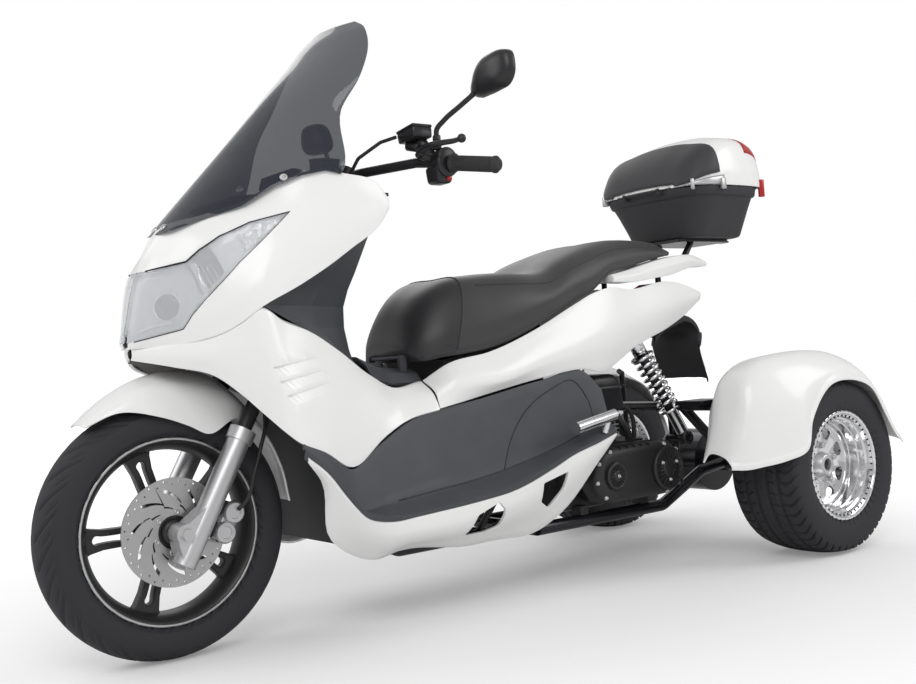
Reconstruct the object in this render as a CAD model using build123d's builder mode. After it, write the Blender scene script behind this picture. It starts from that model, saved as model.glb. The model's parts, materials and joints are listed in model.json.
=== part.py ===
"""Motorized trike: a step-through scooter body on one steered front wheel and two wide rear wheels.

Millimetres. +X is forward, +Y is left, +Z is up, and the origin is on the ground at the middle
of the vehicle's length. Stations of the body are given as distances behind the front axle.
"""

from build123d import *
import os
from math import cos, hypot, radians, sin

os.makedirs("parts", exist_ok=True)

# ---------------------------------------------------------------- driving dimensions
WHEELBASE = 1640
TAIL = 268                     # reach of the rear fenders behind the rear axle

FRONT_TYRE_R = 262             # 120/70-14
FRONT_TYRE_WIDTH = 120
FRONT_RIM_R = 183              # bead seat
FRONT_RIM_FLANGE_R = 191
FRONT_RIM_WIDTH = 88
FRONT_RIM_WALL = 6
BEAD_SEAT = 0.1                # the tyre's bore stands off the rim by this much
BEAD_CLEAR = 1                 # and its bead off the flanges
FRONT_HUB_R = 36
FRONT_HUB_WIDTH = 84
FRONT_AXLE_R = 8
SPOKE_COUNT = 5
SPOKE_BAR_WIDTH = 13
SPOKE_BAR_GAP = 13
SPOKE_DEPTH = 26
DISC_R = 110
DISC_INNER_R = 70
DISC_THICK = 4
DISC_Y = 50                    # inner face of the brake disc, on the left
DISC_HOLE_R = 3.5
DISC_HOLES = 20

REAR_TYRE_R = 229.5            # 205/50-10
REAR_TYRE_WIDTH = 205
REAR_RIM_R = 130
REAR_RIM_FLANGE_R = 141.5
REAR_RIM_WIDTH = 190
REAR_RIM_WALL = 7
REAR_RIM_FACE_DEPTH = 78       # the wheel centre sits this far inside the outer flange
REAR_TRACK = 802
REAR_HUB_R = 34
REAR_HUB_LENGTH = 28
AXLE_R = 30
STUB_R = 14
SHAFT_GAP = 0.05
REAR_WINDOWS = 8

CASTER = 30                    # degrees from vertical
AXLE_LEAD = 55                 # the axle leads the steering axis by this much, square to it
LEG_LEAD = 28                  # the axle leads the fork legs by this much, square to them
LEG_Y = 97
LEG_R = 24
STANCHION_R = 16
STEM_R = 15
HEAD_R = 29
HANDLEBAR_R = 11
GRIP_R = 17

PANEL_WALL = 7
SEAT_TOP_Z = 772
RUNNING_GAP = 0.3              # between pieces that seat on each other
STAY_OVERRUN = 40              # how far stays are drawn past the panel that trims them
HEAD_BORE_R = STEM_R + RUNNING_GAP

TUBE_R = 16
FRAME_Y = 100
CRADLE_Y = 118

# ---------------------------------------------------------------- frame of reference
X_REAR = -(WHEELBASE + FRONT_TYRE_R - TAIL) / 2
X_FRONT = X_REAR + WHEELBASE


def at(behind):
    """X of a station given as its distance behind the front axle."""
    return X_FRONT - behind


def finish(builder, name):
    """Label a finished piece and write it as one STEP file."""
    builder.part.label = name
    export_step(builder.part, f"parts/{name}.step")


# Steering frame: local Z runs up the steering axis, local X points forward, square to it.
STEER_X = (cos(radians(CASTER)), 0, sin(radians(CASTER)))
STEER_Z = (-sin(radians(CASTER)), 0, cos(radians(CASTER)))
STEER = Plane(
    origin=(X_FRONT - AXLE_LEAD * STEER_X[0], 0, FRONT_TYRE_R - AXLE_LEAD * STEER_X[2]),
    x_dir=STEER_X,
    z_dir=STEER_Z,
)


def steer_plane(along, forward=0, side=0):
    """Plane square to the steering axis, this far up it and this far forward of it."""
    origin = STEER.from_local_coords((forward, side, along))
    return Plane(origin=origin, x_dir=STEER_X, z_dir=STEER_Z)


# ---------------------------------------------------------------- helpers for thin panels
def inset(points, depth):
    """Move a polyline to its left by depth; a point on the centre plane stays on it."""
    moved = []
    for index, (y, z) in enumerate(points):
        before = points[max(index - 1, 0)]
        after = points[min(index + 1, len(points) - 1)]
        dy, dz = after[0] - before[0], after[1] - before[1]
        length = hypot(dy, dz)
        new_y = y if y == 0 else y - depth * dz / length
        moved.append((new_y, z + depth * dy / length))
    return moved


def shell(rows, wall=PANEL_WALL, side=1, depth=0):
    """Loft a thin wall through sections square to X.

    Each row is (distance behind the front axle, [(y, z), ...]). The points run along the
    outer face with the inside of the body on their left.
    """
    with BuildPart() as panel:
        for behind, points in rows:
            ring = inset(points, depth) + inset(points, depth + wall)[::-1]
            with BuildSketch(Plane.YZ.offset(at(behind))):
                with BuildLine():
                    Polyline(*[(side * y, z) for y, z in ring], close=True)
                make_face()
        loft(ruled=True)
    return panel.part


def beyond(rows, side, wall=PANEL_WALL):
    """Everything from just under a panel's inner face outwards, to cut stays and lips with."""
    return shell(rows, wall=STAY_OVERRUN + wall + RUNNING_GAP, side=side, depth=-STAY_OVERRUN)


def side_prism(outline, side, inner=0, outer=400, shrink=0):
    """Prism through one side of the body; its outline is (distance behind front axle, z)."""
    with BuildPart() as prism:
        with BuildSketch(Plane.XZ.offset(-side * inner)):
            with BuildLine():
                Polyline(*[(at(behind), z) for behind, z in outline], close=True)
            make_face()
            if shrink:
                offset(amount=-shrink)
        extrude(amount=-side * (outer - inner))
    return prism.part


def tube(points, radius, bends):
    """Round bar along straight runs joined by tangent arcs."""
    with BuildPart() as bar:
        with BuildLine() as path:
            FilletPolyline(*points, radius=bends)
        with BuildSketch(Plane(origin=path.line @ 0, z_dir=path.line % 0)):
            Circle(radius)
        sweep()
    return bar.part


def rod(start, end, radius):
    """Straight round bar between two points."""
    with BuildPart() as bar:
        direction = Vector(*end) - Vector(*start)
        with BuildSketch(Plane(origin=start, z_dir=direction)):
            Circle(radius)
        extrude(amount=direction.length)
    return bar.part


SIDES = (("left", 1), ("right", -1))

# ---------------------------------------------------------------- front wheel
front_axle_point = (X_FRONT, 0, FRONT_TYRE_R)
WHEEL_PLANE = Plane(origin=front_axle_point, x_dir=(1, 0, 0), z_dir=(0, -1, 0))


def tyre(centre, tyre_r, width, rim_r, flange_r, bead_width, crown):
    """Solid tyre of revolution: flat beads, round sidewalls and a crowned tread."""
    half, bead = width / 2, bead_width / 2
    bead_r = flange_r + BEAD_CLEAR
    shoulder_r = tyre_r - crown
    with BuildPart() as body:
        with BuildSketch(Plane(origin=centre, x_dir=(0, 1, 0), z_dir=(-1, 0, 0))):
            with BuildLine():
                Polyline((-bead, bead_r), (-bead, rim_r), (bead, rim_r), (bead, bead_r))
                side = (half, (bead_r + shoulder_r) / 2)
                shoulder = (half - crown / 3, shoulder_r)
                ThreePointArc((bead, bead_r), side, shoulder)
                ThreePointArc(shoulder, (0, tyre_r), (-shoulder[0], shoulder_r))
                ThreePointArc((-shoulder[0], shoulder_r), (-side[0], side[1]), (-bead, bead_r))
            make_face()
        revolve(axis=Axis(centre, (0, 1, 0)))
    return body.part


with BuildPart() as front_tyre:
    add(tyre(front_axle_point, FRONT_TYRE_R, FRONT_TYRE_WIDTH, FRONT_RIM_R + BEAD_SEAT,
             FRONT_RIM_FLANGE_R, FRONT_RIM_WIDTH - 2 * FRONT_RIM_WALL - BEAD_CLEAR, crown=26))
finish(front_tyre, "front_tyre")

FRONT_BARREL_R = FRONT_RIM_R - 14
with BuildPart() as front_rim:
    with BuildSketch(Plane(origin=front_axle_point, x_dir=(0, 1, 0), z_dir=(-1, 0, 0))):
        half = FRONT_RIM_WIDTH / 2
        with BuildLine():
            Polyline(
                (-half, FRONT_RIM_R - 8), (-half, FRONT_RIM_FLANGE_R),
                (-half + FRONT_RIM_WALL, FRONT_RIM_FLANGE_R), (-half + FRONT_RIM_WALL, FRONT_RIM_R),
                (half - FRONT_RIM_WALL, FRONT_RIM_R), (half - FRONT_RIM_WALL, FRONT_RIM_FLANGE_R),
                (half, FRONT_RIM_FLANGE_R), (half, FRONT_RIM_R - 8),
                (16, FRONT_BARREL_R), (-16, FRONT_BARREL_R), close=True)
        make_face()
    revolve(axis=Axis(front_axle_point, (0, 1, 0)))
    with BuildSketch(WHEEL_PLANE.offset(-FRONT_HUB_WIDTH / 2)):
        Circle(FRONT_HUB_R)
    extrude(amount=FRONT_HUB_WIDTH)
    with BuildSketch(WHEEL_PLANE.offset(-SPOKE_DEPTH / 2)):
        bar_offset = (SPOKE_BAR_WIDTH + SPOKE_BAR_GAP) / 2
        spoke_length = FRONT_BARREL_R - FRONT_HUB_R + 14
        spoke_mid = (FRONT_BARREL_R + FRONT_HUB_R) / 2
        with PolarLocations(0, SPOKE_COUNT, start_angle=90 - 360 / SPOKE_COUNT / 2):
            with Locations((spoke_mid, bar_offset), (spoke_mid, -bar_offset)):
                Rectangle(spoke_length, SPOKE_BAR_WIDTH)
    extrude(amount=SPOKE_DEPTH)
    with BuildSketch(WHEEL_PLANE.offset(-FRONT_HUB_WIDTH)):
        Circle(FRONT_AXLE_R + SHAFT_GAP)
    extrude(amount=2 * FRONT_HUB_WIDTH, mode=Mode.SUBTRACT)
    with BuildSketch(WHEEL_PLANE.offset(-DISC_Y)):
        Circle(DISC_INNER_R - 22)
        Circle(FRONT_AXLE_R + SHAFT_GAP, mode=Mode.SUBTRACT)
    extrude(amount=DISC_Y - SPOKE_DEPTH / 2)
finish(front_rim, "front_rim")

with BuildPart() as brake_disc:
    with BuildSketch(WHEEL_PLANE.offset(-DISC_Y - DISC_THICK)):
        Circle(DISC_R)
        Circle(DISC_INNER_R, mode=Mode.SUBTRACT)
        with PolarLocations(DISC_R - 12, DISC_HOLES):
            Circle(DISC_HOLE_R, mode=Mode.SUBTRACT)
        with PolarLocations(DISC_INNER_R - 10, 6):
            Circle(14)
        Circle(DISC_INNER_R - 14)
        Circle(FRONT_AXLE_R + 6, mode=Mode.SUBTRACT)
    extrude(amount=DISC_THICK)
finish(brake_disc, "brake_disc")

# ---------------------------------------------------------------- rear wheels
for side_name, side in SIDES:
    centre = (X_REAR, side * REAR_TRACK / 2, REAR_TYRE_R)
    with BuildPart() as rear_tyre:
        add(tyre(centre, REAR_TYRE_R, REAR_TYRE_WIDTH, REAR_RIM_R + BEAD_SEAT,
                 REAR_RIM_FLANGE_R, REAR_RIM_WIDTH - 2 * REAR_RIM_WALL - BEAD_CLEAR, crown=14))
    finish(rear_tyre, f"rear_tyre_{side_name}")

    half = REAR_RIM_WIDTH / 2
    wall = REAR_RIM_WALL
    face_y = half - REAR_RIM_FACE_DEPTH
    outward = Plane(origin=centre, x_dir=(1, 0, 0), z_dir=(0, side, 0))
    with BuildPart() as rear_rim:
        with BuildSketch(Plane(origin=centre, x_dir=(0, side, 0), z_dir=(-side, 0, 0))):
            with BuildLine():
                Polyline(
                    (-half, REAR_RIM_R - wall), (-half, REAR_RIM_FLANGE_R),
                    (-half + wall, REAR_RIM_FLANGE_R), (-half + wall, REAR_RIM_R),
                    (half - wall, REAR_RIM_R), (half - wall, REAR_RIM_FLANGE_R),
                    (half, REAR_RIM_FLANGE_R), (half, REAR_RIM_R - wall),
                    (face_y, REAR_RIM_R - 22), (-half + 30, REAR_RIM_R - 14), close=True)
            make_face()
        revolve(axis=Axis(centre, (0, 1, 0)))
        with BuildSketch(outward.offset(face_y - wall)):
            Circle(REAR_RIM_R - 16)
            with PolarLocations((REAR_RIM_R + REAR_HUB_R) / 2, REAR_WINDOWS):
                SlotOverall(40, 20, rotation=90, mode=Mode.SUBTRACT)
        extrude(amount=wall)
        with BuildSketch(outward.offset(face_y)):
            Circle(REAR_HUB_R)
        extrude(amount=REAR_HUB_LENGTH)
        with BuildSketch(outward):
            Circle(STUB_R + SHAFT_GAP)
        extrude(amount=REAR_TYRE_WIDTH, both=True, mode=Mode.SUBTRACT)
    finish(rear_rim, f"rear_rim_{side_name}")

# ---------------------------------------------------------------- fork and steering
LEG_X = AXLE_LEAD - LEG_LEAD
LEG_BOTTOM = -56
LEG_TOP = 240
YOKE_LOW = 350
YOKE_THICK = 32
BAR_ALONG = 892                # handlebar clamp, up the steering axis

# Handlebar: distances behind the front axle, side and height of its bends on the left.
bar_centre = STEER.from_local_coords((0, 0, BAR_ALONG))
GRIP_INNER = (at(602), 250, 1004)
GRIP_END = (at(636), 372, 981)
LEFT_BENDS = [(bar_centre.X, 60, bar_centre.Z), (at(566), 180, 1014), GRIP_INNER, GRIP_END]
BAR_POINTS = [(x, -y, z) for x, y, z in LEFT_BENDS[::-1]] + LEFT_BENDS
BAR_BEND = 40
CLAMP_R = 24
CLAMP_BELOW = 44               # the clamp's height under and over the bar
CLAMP_ABOVE = 8

with BuildPart() as fork_yoke:
    with BuildSketch(steer_plane(YOKE_LOW)):
        with Locations((LEG_X / 2, 0)):
            RectangleRounded(78, 2 * LEG_Y + 52, 20)
    extrude(amount=YOKE_THICK)
    with BuildSketch(steer_plane(YOKE_LOW + YOKE_THICK)):
        Circle(STEM_R)
    extrude(amount=BAR_ALONG - YOKE_LOW - YOKE_THICK - HANDLEBAR_R)
    for side in (1, -1):
        with BuildSketch(steer_plane(LEG_TOP, LEG_X, side * LEG_Y)):
            Circle(STANCHION_R)
        extrude(amount=YOKE_LOW - LEG_TOP)
    with BuildSketch(steer_plane(BAR_ALONG - HANDLEBAR_R - CLAMP_BELOW)):
        Circle(CLAMP_R)
    extrude(amount=2 * HANDLEBAR_R + CLAMP_BELOW + CLAMP_ABOVE)
    add(tube(BAR_POINTS, HANDLEBAR_R + SHAFT_GAP, BAR_BEND), mode=Mode.SUBTRACT)
finish(fork_yoke, "fork_yoke")

# Front fender: sections round the axle, from its front tip to the end of the rear flap.
# Each row: degrees up from straight ahead, crown radius, shoulder y and radius, edge y and radius.
FENDER_ROWS = (
    (54, 286, 30, 283, 42, 279),
    (68, 298, 52, 284, 62, 268),
    (84, 316, 60, 292, 74, 236),
    (100, 330, 62, 298, 77, 214),
    (112, 330, 62, 298, 77, 206),
    (124, 312, 60, 292, 70, 262),
    (140, 290, 50, 284, 60, 274),
    (158, 280, 46, 276, 54, 270),
    (174, 278, 42, 274, 50, 268),
)
FENDER_WALL = 5


def fender_filled(clear):
    """The space under the front fender's outer face, grown by clear."""
    with BuildPart() as filled:
        for degrees, crown_r, mid_y, mid_r, edge_y, edge_r in FENDER_ROWS:
            half_ring = [(edge_y + clear, edge_r - clear), (mid_y + clear, mid_r + clear),
                         (0, crown_r + clear)]
            tilt = radians(degrees)
            with BuildSketch(Plane(origin=front_axle_point, x_dir=(0, -1, 0),
                                   z_dir=(-sin(tilt), 0, cos(tilt)))):
                with BuildLine():
                    Polyline(*half_ring, *[(-y, r) for y, r in half_ring[1::-1]], close=True)
                make_face()
        loft(ruled=True)
    return filled.part


AXLE_LUG_R = 21
FENDER_LUG = (56, 288)         # side and height, up the steering axis, of the fender lugs' tips
AXLE_NUT_OUT = 20              # the axle lug reaches this far outside the leg's middle
with BuildPart() as fork_legs:
    for side in (1, -1):
        with BuildSketch(steer_plane(LEG_BOTTOM, LEG_X, side * LEG_Y)):
            Circle(LEG_R)
        extrude(amount=LEG_TOP - LEG_BOTTOM)
        with BuildSketch(steer_plane(LEG_TOP - 26, LEG_X, side * LEG_Y)):
            Circle(LEG_R + 4)
        extrude(amount=26)
        lug_plane = Plane(origin=(X_FRONT, side * (LEG_Y - 14), FRONT_TYRE_R),
                          x_dir=STEER_X, z_dir=(0, -1, 0))
        with BuildSketch(lug_plane.offset(-14 - AXLE_NUT_OUT)):
            with BuildLine():
                Polyline((8, 18), (8, -22), (-LEG_LEAD, -62), (-LEG_LEAD, 92), close=True)
            make_face()
            Circle(AXLE_LUG_R)
        extrude(amount=28 + AXLE_NUT_OUT)
        lug_foot = STEER.from_local_coords((LEG_X, side * (LEG_Y - 12), LEG_TOP - 10))
        lug_tip = STEER.from_local_coords((LEG_X, side * FENDER_LUG[0], FENDER_LUG[1]))
        add(rod(tuple(lug_foot), tuple(lug_tip), 9))
    with BuildSketch(WHEEL_PLANE):
        Circle(FRONT_AXLE_R + SHAFT_GAP)
    extrude(amount=2 * LEG_Y, both=True, mode=Mode.SUBTRACT)
    for side in (1, -1):
        with BuildSketch(steer_plane(LEG_TOP, LEG_X, side * LEG_Y)):
            Circle(STANCHION_R + RUNNING_GAP)
        extrude(amount=LEG_R * 2, mode=Mode.SUBTRACT)
    add(fender_filled(RUNNING_GAP), mode=Mode.SUBTRACT)
finish(fork_legs, "fork_legs")

AXLE_END_Y = LEG_Y + AXLE_NUT_OUT
with BuildPart() as front_axle:
    with BuildSketch(WHEEL_PLANE.offset(-AXLE_END_Y)):
        Circle(FRONT_AXLE_R)
    extrude(amount=2 * AXLE_END_Y)
    with BuildSketch(WHEEL_PLANE.offset(-AXLE_END_Y - 10)):
        RegularPolygon(13, 6)
    extrude(amount=10)
    with BuildSketch(WHEEL_PLANE.offset(AXLE_END_Y)):
        RegularPolygon(13, 6)
    extrude(amount=10)
finish(front_axle, "front_axle")

with BuildPart() as front_fender:
    for degrees, crown_r, mid_y, mid_r, edge_y, edge_r in FENDER_ROWS:
        half_ring = [(edge_y, edge_r), (mid_y, mid_r), (0, crown_r)]
        inner = [(edge_y - FENDER_WALL, edge_r), (mid_y - 3, mid_r - FENDER_WALL),
                 (0, crown_r - FENDER_WALL)]
        ring = (half_ring + [(-y, r) for y, r in half_ring[1::-1]]
                + [(-y, r) for y, r in inner] + inner[1::-1])
        tilt = radians(degrees)
        with BuildSketch(Plane(origin=front_axle_point, x_dir=(0, -1, 0), z_dir=(-sin(tilt), 0, cos(tilt)))):
            with BuildLine():
                Polyline(*ring, close=True)
            make_face()
    loft(ruled=True)
finish(front_fender, "front_fender")

CALIPER_ALONG = 60             # up the fork leg from the axle
CALIPER_BACK = 92              # behind the axle, square to the leg
with BuildPart() as brake_caliper:
    caliper_plane = Plane(origin=front_axle_point, x_dir=STEER_X, z_dir=(0, -1, 0))
    with BuildSketch(caliper_plane.offset(-DISC_Y - DISC_THICK - 32)):
        with Locations((-CALIPER_BACK, CALIPER_ALONG)):
            RectangleRounded(48, 92, 14)
    extrude(amount=32 + DISC_THICK + 12)
    with BuildSketch(caliper_plane.offset(-DISC_Y - DISC_THICK - 3)):
        Circle(DISC_R + 4)
    extrude(amount=DISC_THICK + 6, mode=Mode.SUBTRACT)
    with BuildSketch(caliper_plane.offset(-DISC_Y - DISC_THICK - 32)):
        with Locations((-LEG_LEAD - LEG_R - 18, CALIPER_ALONG)):
            Rectangle(44, 60)
    extrude(amount=14)
    with BuildSketch(steer_plane(LEG_BOTTOM, LEG_X, LEG_Y)):
        Circle(LEG_R + RUNNING_GAP)
    extrude(amount=LEG_TOP, mode=Mode.SUBTRACT)
finish(brake_caliper, "brake_caliper")

with BuildPart() as handlebar:
    add(tube(BAR_POINTS, HANDLEBAR_R, BAR_BEND))
finish(handlebar, "handlebar")

with BuildPart() as grips:
    for side in (1, -1):
        inner = Vector(GRIP_INNER[0], side * GRIP_INNER[1], GRIP_INNER[2])
        end = Vector(GRIP_END[0], side * GRIP_END[1], GRIP_END[2])
        along = (end - inner).normalized()
        start = inner + along * 14
        with BuildSketch(Plane(origin=start, z_dir=along)):
            Circle(GRIP_R)
            Circle(HANDLEBAR_R, mode=Mode.SUBTRACT)
        extrude(amount=(end - start).length)
        with BuildSketch(Plane(origin=end, z_dir=along)):
            Circle(GRIP_R - 1)
        extrude(amount=12)
finish(grips, "grips")

# Hand controls: switch housing, lever with a ball end and master cylinder on each side.
LEVER_BALL = (at(582), 330, 1042)
MIRROR_FOOT = (at(592), 228, 1036)
MIRROR_BOSS_R = 11
with BuildPart() as hand_controls:
    for side in (1, -1):
        inner = Vector(GRIP_INNER[0], side * GRIP_INNER[1], GRIP_INNER[2])
        housing = Plane(origin=inner - Vector(0, side * 42, -3), z_dir=(0, side, 0), x_dir=(1, 0, 0))
        with BuildSketch(housing):
            RectangleRounded(52, 62, 16)
        extrude(amount=48)
        lever_root = (at(552), side * 222, 1034)
        ball = (LEVER_BALL[0], side * LEVER_BALL[1], LEVER_BALL[2])
        add(rod(lever_root, ball, 6))
        with Locations(ball):
            Sphere(10)
        add(rod(lever_root, (at(590), side * 222, 1018), 14))
        with Locations((at(556), side * 196, 1074)):
            Box(52, 66, 30)
        add(rod((at(566), side * 200, 1062), (at(588), side * 212, 1022), 15))
    add(tube(BAR_POINTS, HANDLEBAR_R + SHAFT_GAP, BAR_BEND), mode=Mode.SUBTRACT)
    for side in (1, -1):
        with BuildSketch(Plane.XY.offset(MIRROR_FOOT[2] - RUNNING_GAP)):
            with Locations((MIRROR_FOOT[0], side * MIRROR_FOOT[1])):
                Circle(MIRROR_BOSS_R + RUNNING_GAP)
        extrude(amount=80, mode=Mode.SUBTRACT)
finish(hand_controls, "hand_controls")

MIRROR_CENTRE = (at(638), 370, 1177)
with BuildPart() as mirrors:
    for side in (1, -1):
        with BuildSketch(Plane(origin=(MIRROR_CENTRE[0] + 14, side * MIRROR_CENTRE[1], MIRROR_CENTRE[2]),
                               x_dir=(0, side, 0), z_dir=(-1, 0, 0))):
            with BuildLine():
                Polyline((-70, -42), (40, -34), (64, -14), (68, 24), (50, 42), (-20, 40), (-58, 16),
                         close=True)
            make_face()
        extrude(amount=30, taper=-12)
        add(tube([(at(592), side * 228, 1062), (at(594), side * 236, 1090),
                  (at(636), side * 326, 1150)], 6, 10))
        with BuildSketch(Plane.XY.offset(MIRROR_FOOT[2])):
            with Locations((MIRROR_FOOT[0], side * MIRROR_FOOT[1])):
                Circle(MIRROR_BOSS_R)
        extrude(amount=30)
finish(mirrors, "mirrors")

# Brake hoses: down from each hand control to the steering stem, clear of the dash.
HOSE_R = 4
with BuildPart() as control_cables:
    for side in (1, -1):
        add(tube([
            (at(526), side * 166, 1072), (at(508), side * 130, 1066), (at(476), side * 84, 1036),
            (at(468), side * 48, 996), (at(446), side * 30, 952), (at(420), side * 30, 900),
        ], HOSE_R, 14))
finish(control_cables, "control_cables")

# ---------------------------------------------------------------- front bodywork
# Upper cowl with the lamps, from its lower crease to the foot of the windshield.
COWL_ROWS = (
    (-60, [(16, 634), (22, 642), (22, 655), (12, 664), (0, 667)]),
    (-26, [(62, 635), (76, 652), (70, 722), (44, 782), (0, 791)]),
    (20, [(128, 638), (136, 664), (132, 735), (112, 798), (0, 873)]),
    (83, [(190, 659), (192, 705), (184, 765), (180, 846), (110, 898)]),
    (140, [(229, 702), (224, 760), (206, 820), (199, 872), (145, 917)]),
    (220, [(236, 741), (236, 800), (226, 860), (214, 896), (190, 960)]),
    (300, [(238, 786), (240, 840), (236, 890), (228, 935), (220, 981)]),
    (345, [(239, 815), (242, 860), (240, 905), (236, 945), (229, 973)]),
    (420, [(240, 866), (241, 885), (241, 905), (240, 930), (235, 956)]),
    (446, [(239, 900), (240, 906), (240, 912), (239, 918), (237, 924)]),
)
LAMP_OUTLINE = (
    (-90, 654), (-61, 646), (13, 666), (27, 693), (48, 721), (111, 792), (221, 893),
    (136, 871), (79, 845), (48, 821), (29, 800), (-18, 787), (-26, 790), (-90, 790),
)
LENS_WALL = 4
with BuildPart() as front_cowl:
    for side in (1, -1):
        add(shell(COWL_ROWS, side=side))
    for side in (1, -1):
        add(side_prism(LAMP_OUTLINE, side), mode=Mode.SUBTRACT)
finish(front_cowl, "front_cowl")

for side_name, side in SIDES:
    with BuildPart() as headlight:
        add(shell(COWL_ROWS, wall=LENS_WALL, side=side, depth=1))
        add(side_prism(LAMP_OUTLINE, side, inner=1), mode=Mode.INTERSECT)
    finish(headlight, f"headlight_{side_name}")

# Lamp housing: one bowl behind both lenses, open towards them.
LAMP_WALL = 5
LAMP_STATIONS = 7


def lamp_block(side, back, shrink, depth):
    """Block behind a lens; its rear face lies at this share of the skin's half width."""
    with BuildPart() as block:
        for behind, points in COWL_ROWS[:LAMP_STATIONS]:
            front = inset(points, depth)
            rear = [(y * back, z - 12) for y, z in front]
            with BuildSketch(Plane.YZ.offset(at(behind))):
                with BuildLine():
                    Polyline(*[(side * y, z) for y, z in front + rear[::-1]], close=True)
                make_face()
        loft(ruled=True)
        add(side_prism(LAMP_OUTLINE, side, inner=shrink, shrink=shrink), mode=Mode.INTERSECT)
    return block.part


with BuildPart() as lamp_housing:
    for side in (1, -1):
        add(lamp_block(side, 0.60, 0.2, LENS_WALL + 3))
    for side in (1, -1):
        add(lamp_block(side, 0.66, LAMP_WALL, LENS_WALL - 1), mode=Mode.SUBTRACT)
finish(lamp_housing, "lamp_housing")

# Windshield: each row is height, station of its middle, station of its edge and half width.
SHIELD_ROWS = (
    (868, 18, 150, 190),
    (980, 121, 342, 234),
    (1115, 244, 370, 194),
    (1192, 314, 417, 202),
    (1263, 380, 450, 190),
    (1313, 424, 466, 158),
    (1340, 450, 474, 110),
)
SHIELD_FOOT = ((0, 860), (20, 866), (83, 889), (142, 909), (197, 944), (253, 967), (303, 977), (360, 966))
SHIELD_WALL = 5
with BuildPart() as windshield:
    for z, middle, edge, half_width in SHIELD_ROWS:
        with BuildSketch(Plane.XY.offset(z)):
            with BuildLine():
                ThreePointArc((at(edge), -half_width), (at(middle), 0), (at(edge), half_width))
                Line((at(edge), half_width), (at(edge), half_width - SHIELD_WALL - 3))
                ThreePointArc((at(edge), half_width - SHIELD_WALL - 3), (at(middle + SHIELD_WALL + 3), 0),
                              (at(edge), -half_width + SHIELD_WALL + 3))
                Line((at(edge), -half_width + SHIELD_WALL + 3), (at(edge), -half_width))
            make_face()
    loft(ruled=True)
    with BuildSketch(Plane.XZ.offset(-300)):
        with BuildLine():
            Polyline(*[(at(behind), z) for behind, z in SHIELD_FOOT],
                     (at(400), 900), (at(400), 800), (at(0), 800), close=True)
        make_face()
    extrude(amount=600, mode=Mode.SUBTRACT)
    for side in (1, -1):
        add(shell(COWL_ROWS[1:9], wall=2 * PANEL_WALL, side=side, depth=-RUNNING_GAP), mode=Mode.SUBTRACT)
finish(windshield, "windshield")

DASH_Z = 930
# Leg shield: rows of height, rim (station, half width), pocket and centre column.
LEG_SHIELD_ROWS = (
    (562, (412, 146), (418, 112), (446, 66)),
    (607, (343, 174), (356, 140), (432, 64)),
    (657, (241, 206), (312, 152), (424, 62)),
    (703, (150, 221), (288, 160), (424, 64)),
    (741, (227, 227), (306, 165), (436, 68)),
    (781, (297, 229), (342, 165), (456, 72)),
    (865, (424, 231), (416, 165), (496, 76)),
    (DASH_Z - RUNNING_GAP, (450, 230), (460, 160), (520, 78)),
)
with BuildPart() as leg_shield:
    for z, rim, pocket, column in LEG_SHIELD_ROWS:
        front_half = [rim, pocket, column]
        outer = ([(at(b), y) for b, y in front_half] + [(at(b), -y) for b, y in front_half[::-1]])
        inner = [(x + PANEL_WALL, y) for x, y in outer[::-1]]
        with BuildSketch(Plane.XY.offset(z)):
            with BuildLine():
                Polyline(*outer, *inner, close=True)
            make_face()
    loft(ruled=True)
finish(leg_shield, "leg_shield")

# Dash between the windshield's foot and the leg shield, open round the steering stem.
with BuildPart() as dash_panel:
    with BuildSketch(Plane.XY.offset(DASH_Z)):
        with BuildLine():
            Polyline(
                (at(150), 110), (at(210), 170), (at(300), 205), (at(420), 222), (at(458), 222),
                (at(466), 160), (at(526), 80), (at(526), -80), (at(466), -160), (at(458), -222),
                (at(420), -222), (at(300), -205), (at(210), -170), (at(150), -110), close=True)
        make_face()
    extrude(amount=PANEL_WALL)
    with BuildSketch(STEER.offset(500)):
        Circle(62)
    extrude(amount=600, mode=Mode.SUBTRACT)
finish(dash_panel, "dash_panel")

with BuildPart() as instrument_cluster:
    with BuildSketch(Plane(origin=(at(352), 0, 986), x_dir=(0, 1, 0), z_dir=(-0.5, 0, 0.866))):
        RectangleRounded(190, 92, 30)
    extrude(amount=-22, taper=10)
    with BuildSketch(Plane.XY.offset(DASH_Z + PANEL_WALL + RUNNING_GAP)):
        with Locations((at(330), 0)):
            Rectangle(60, 90)
    extrude(amount=36)
finish(instrument_cluster, "instrument_cluster")

# Lower side panels, from the nose back past the front of the foot spaces.
SIDE_ROWS = (
    (-52, [(12, 612), (20, 622), (19, 632)]),
    (0, [(108, 592), (116, 614), (111, 633)]),
    (57, [(160, 571), (172, 608), (166, 644)]),
    (100, [(190, 530), (204, 598), (203, 666)]),
    (138, [(214, 485), (232, 590), (228, 694)]),
    (190, [(246, 429), (241, 540), (219, 668)]),
    (250, [(240, 403), (226, 520), (207, 648)]),
    (331, [(214, 362), (204, 480), (182, 607)]),
    (437, [(185, 416), (172, 480), (142, 546)]),
    (513, [(175, 448), (152, 480), (120, 515)]),
    (590, [(178, 461), (158, 495), (112, 525)]),
)
VENT_DEPTH = 3                 # the vents are blind recesses in the panel wall
VENTS = (
    ((150, 575), (250, 590), (262, 580), (160, 562)),
    ((158, 548), (268, 566), (280, 556), (170, 534)),
    ((172, 520), (284, 540), (296, 530), (186, 506)),
)
for side_name, side in SIDES:
    with BuildPart() as side_fairing:
        add(shell(SIDE_ROWS, side=side))
        skin = shell(SIDE_ROWS, side=side, wall=STAY_OVERRUN + VENT_DEPTH, depth=-STAY_OVERRUN)
        for vent in VENTS:
            add(skin & side_prism(vent, side, inner=100), mode=Mode.SUBTRACT)
    finish(side_fairing, f"side_fairing_{side_name}")

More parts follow.
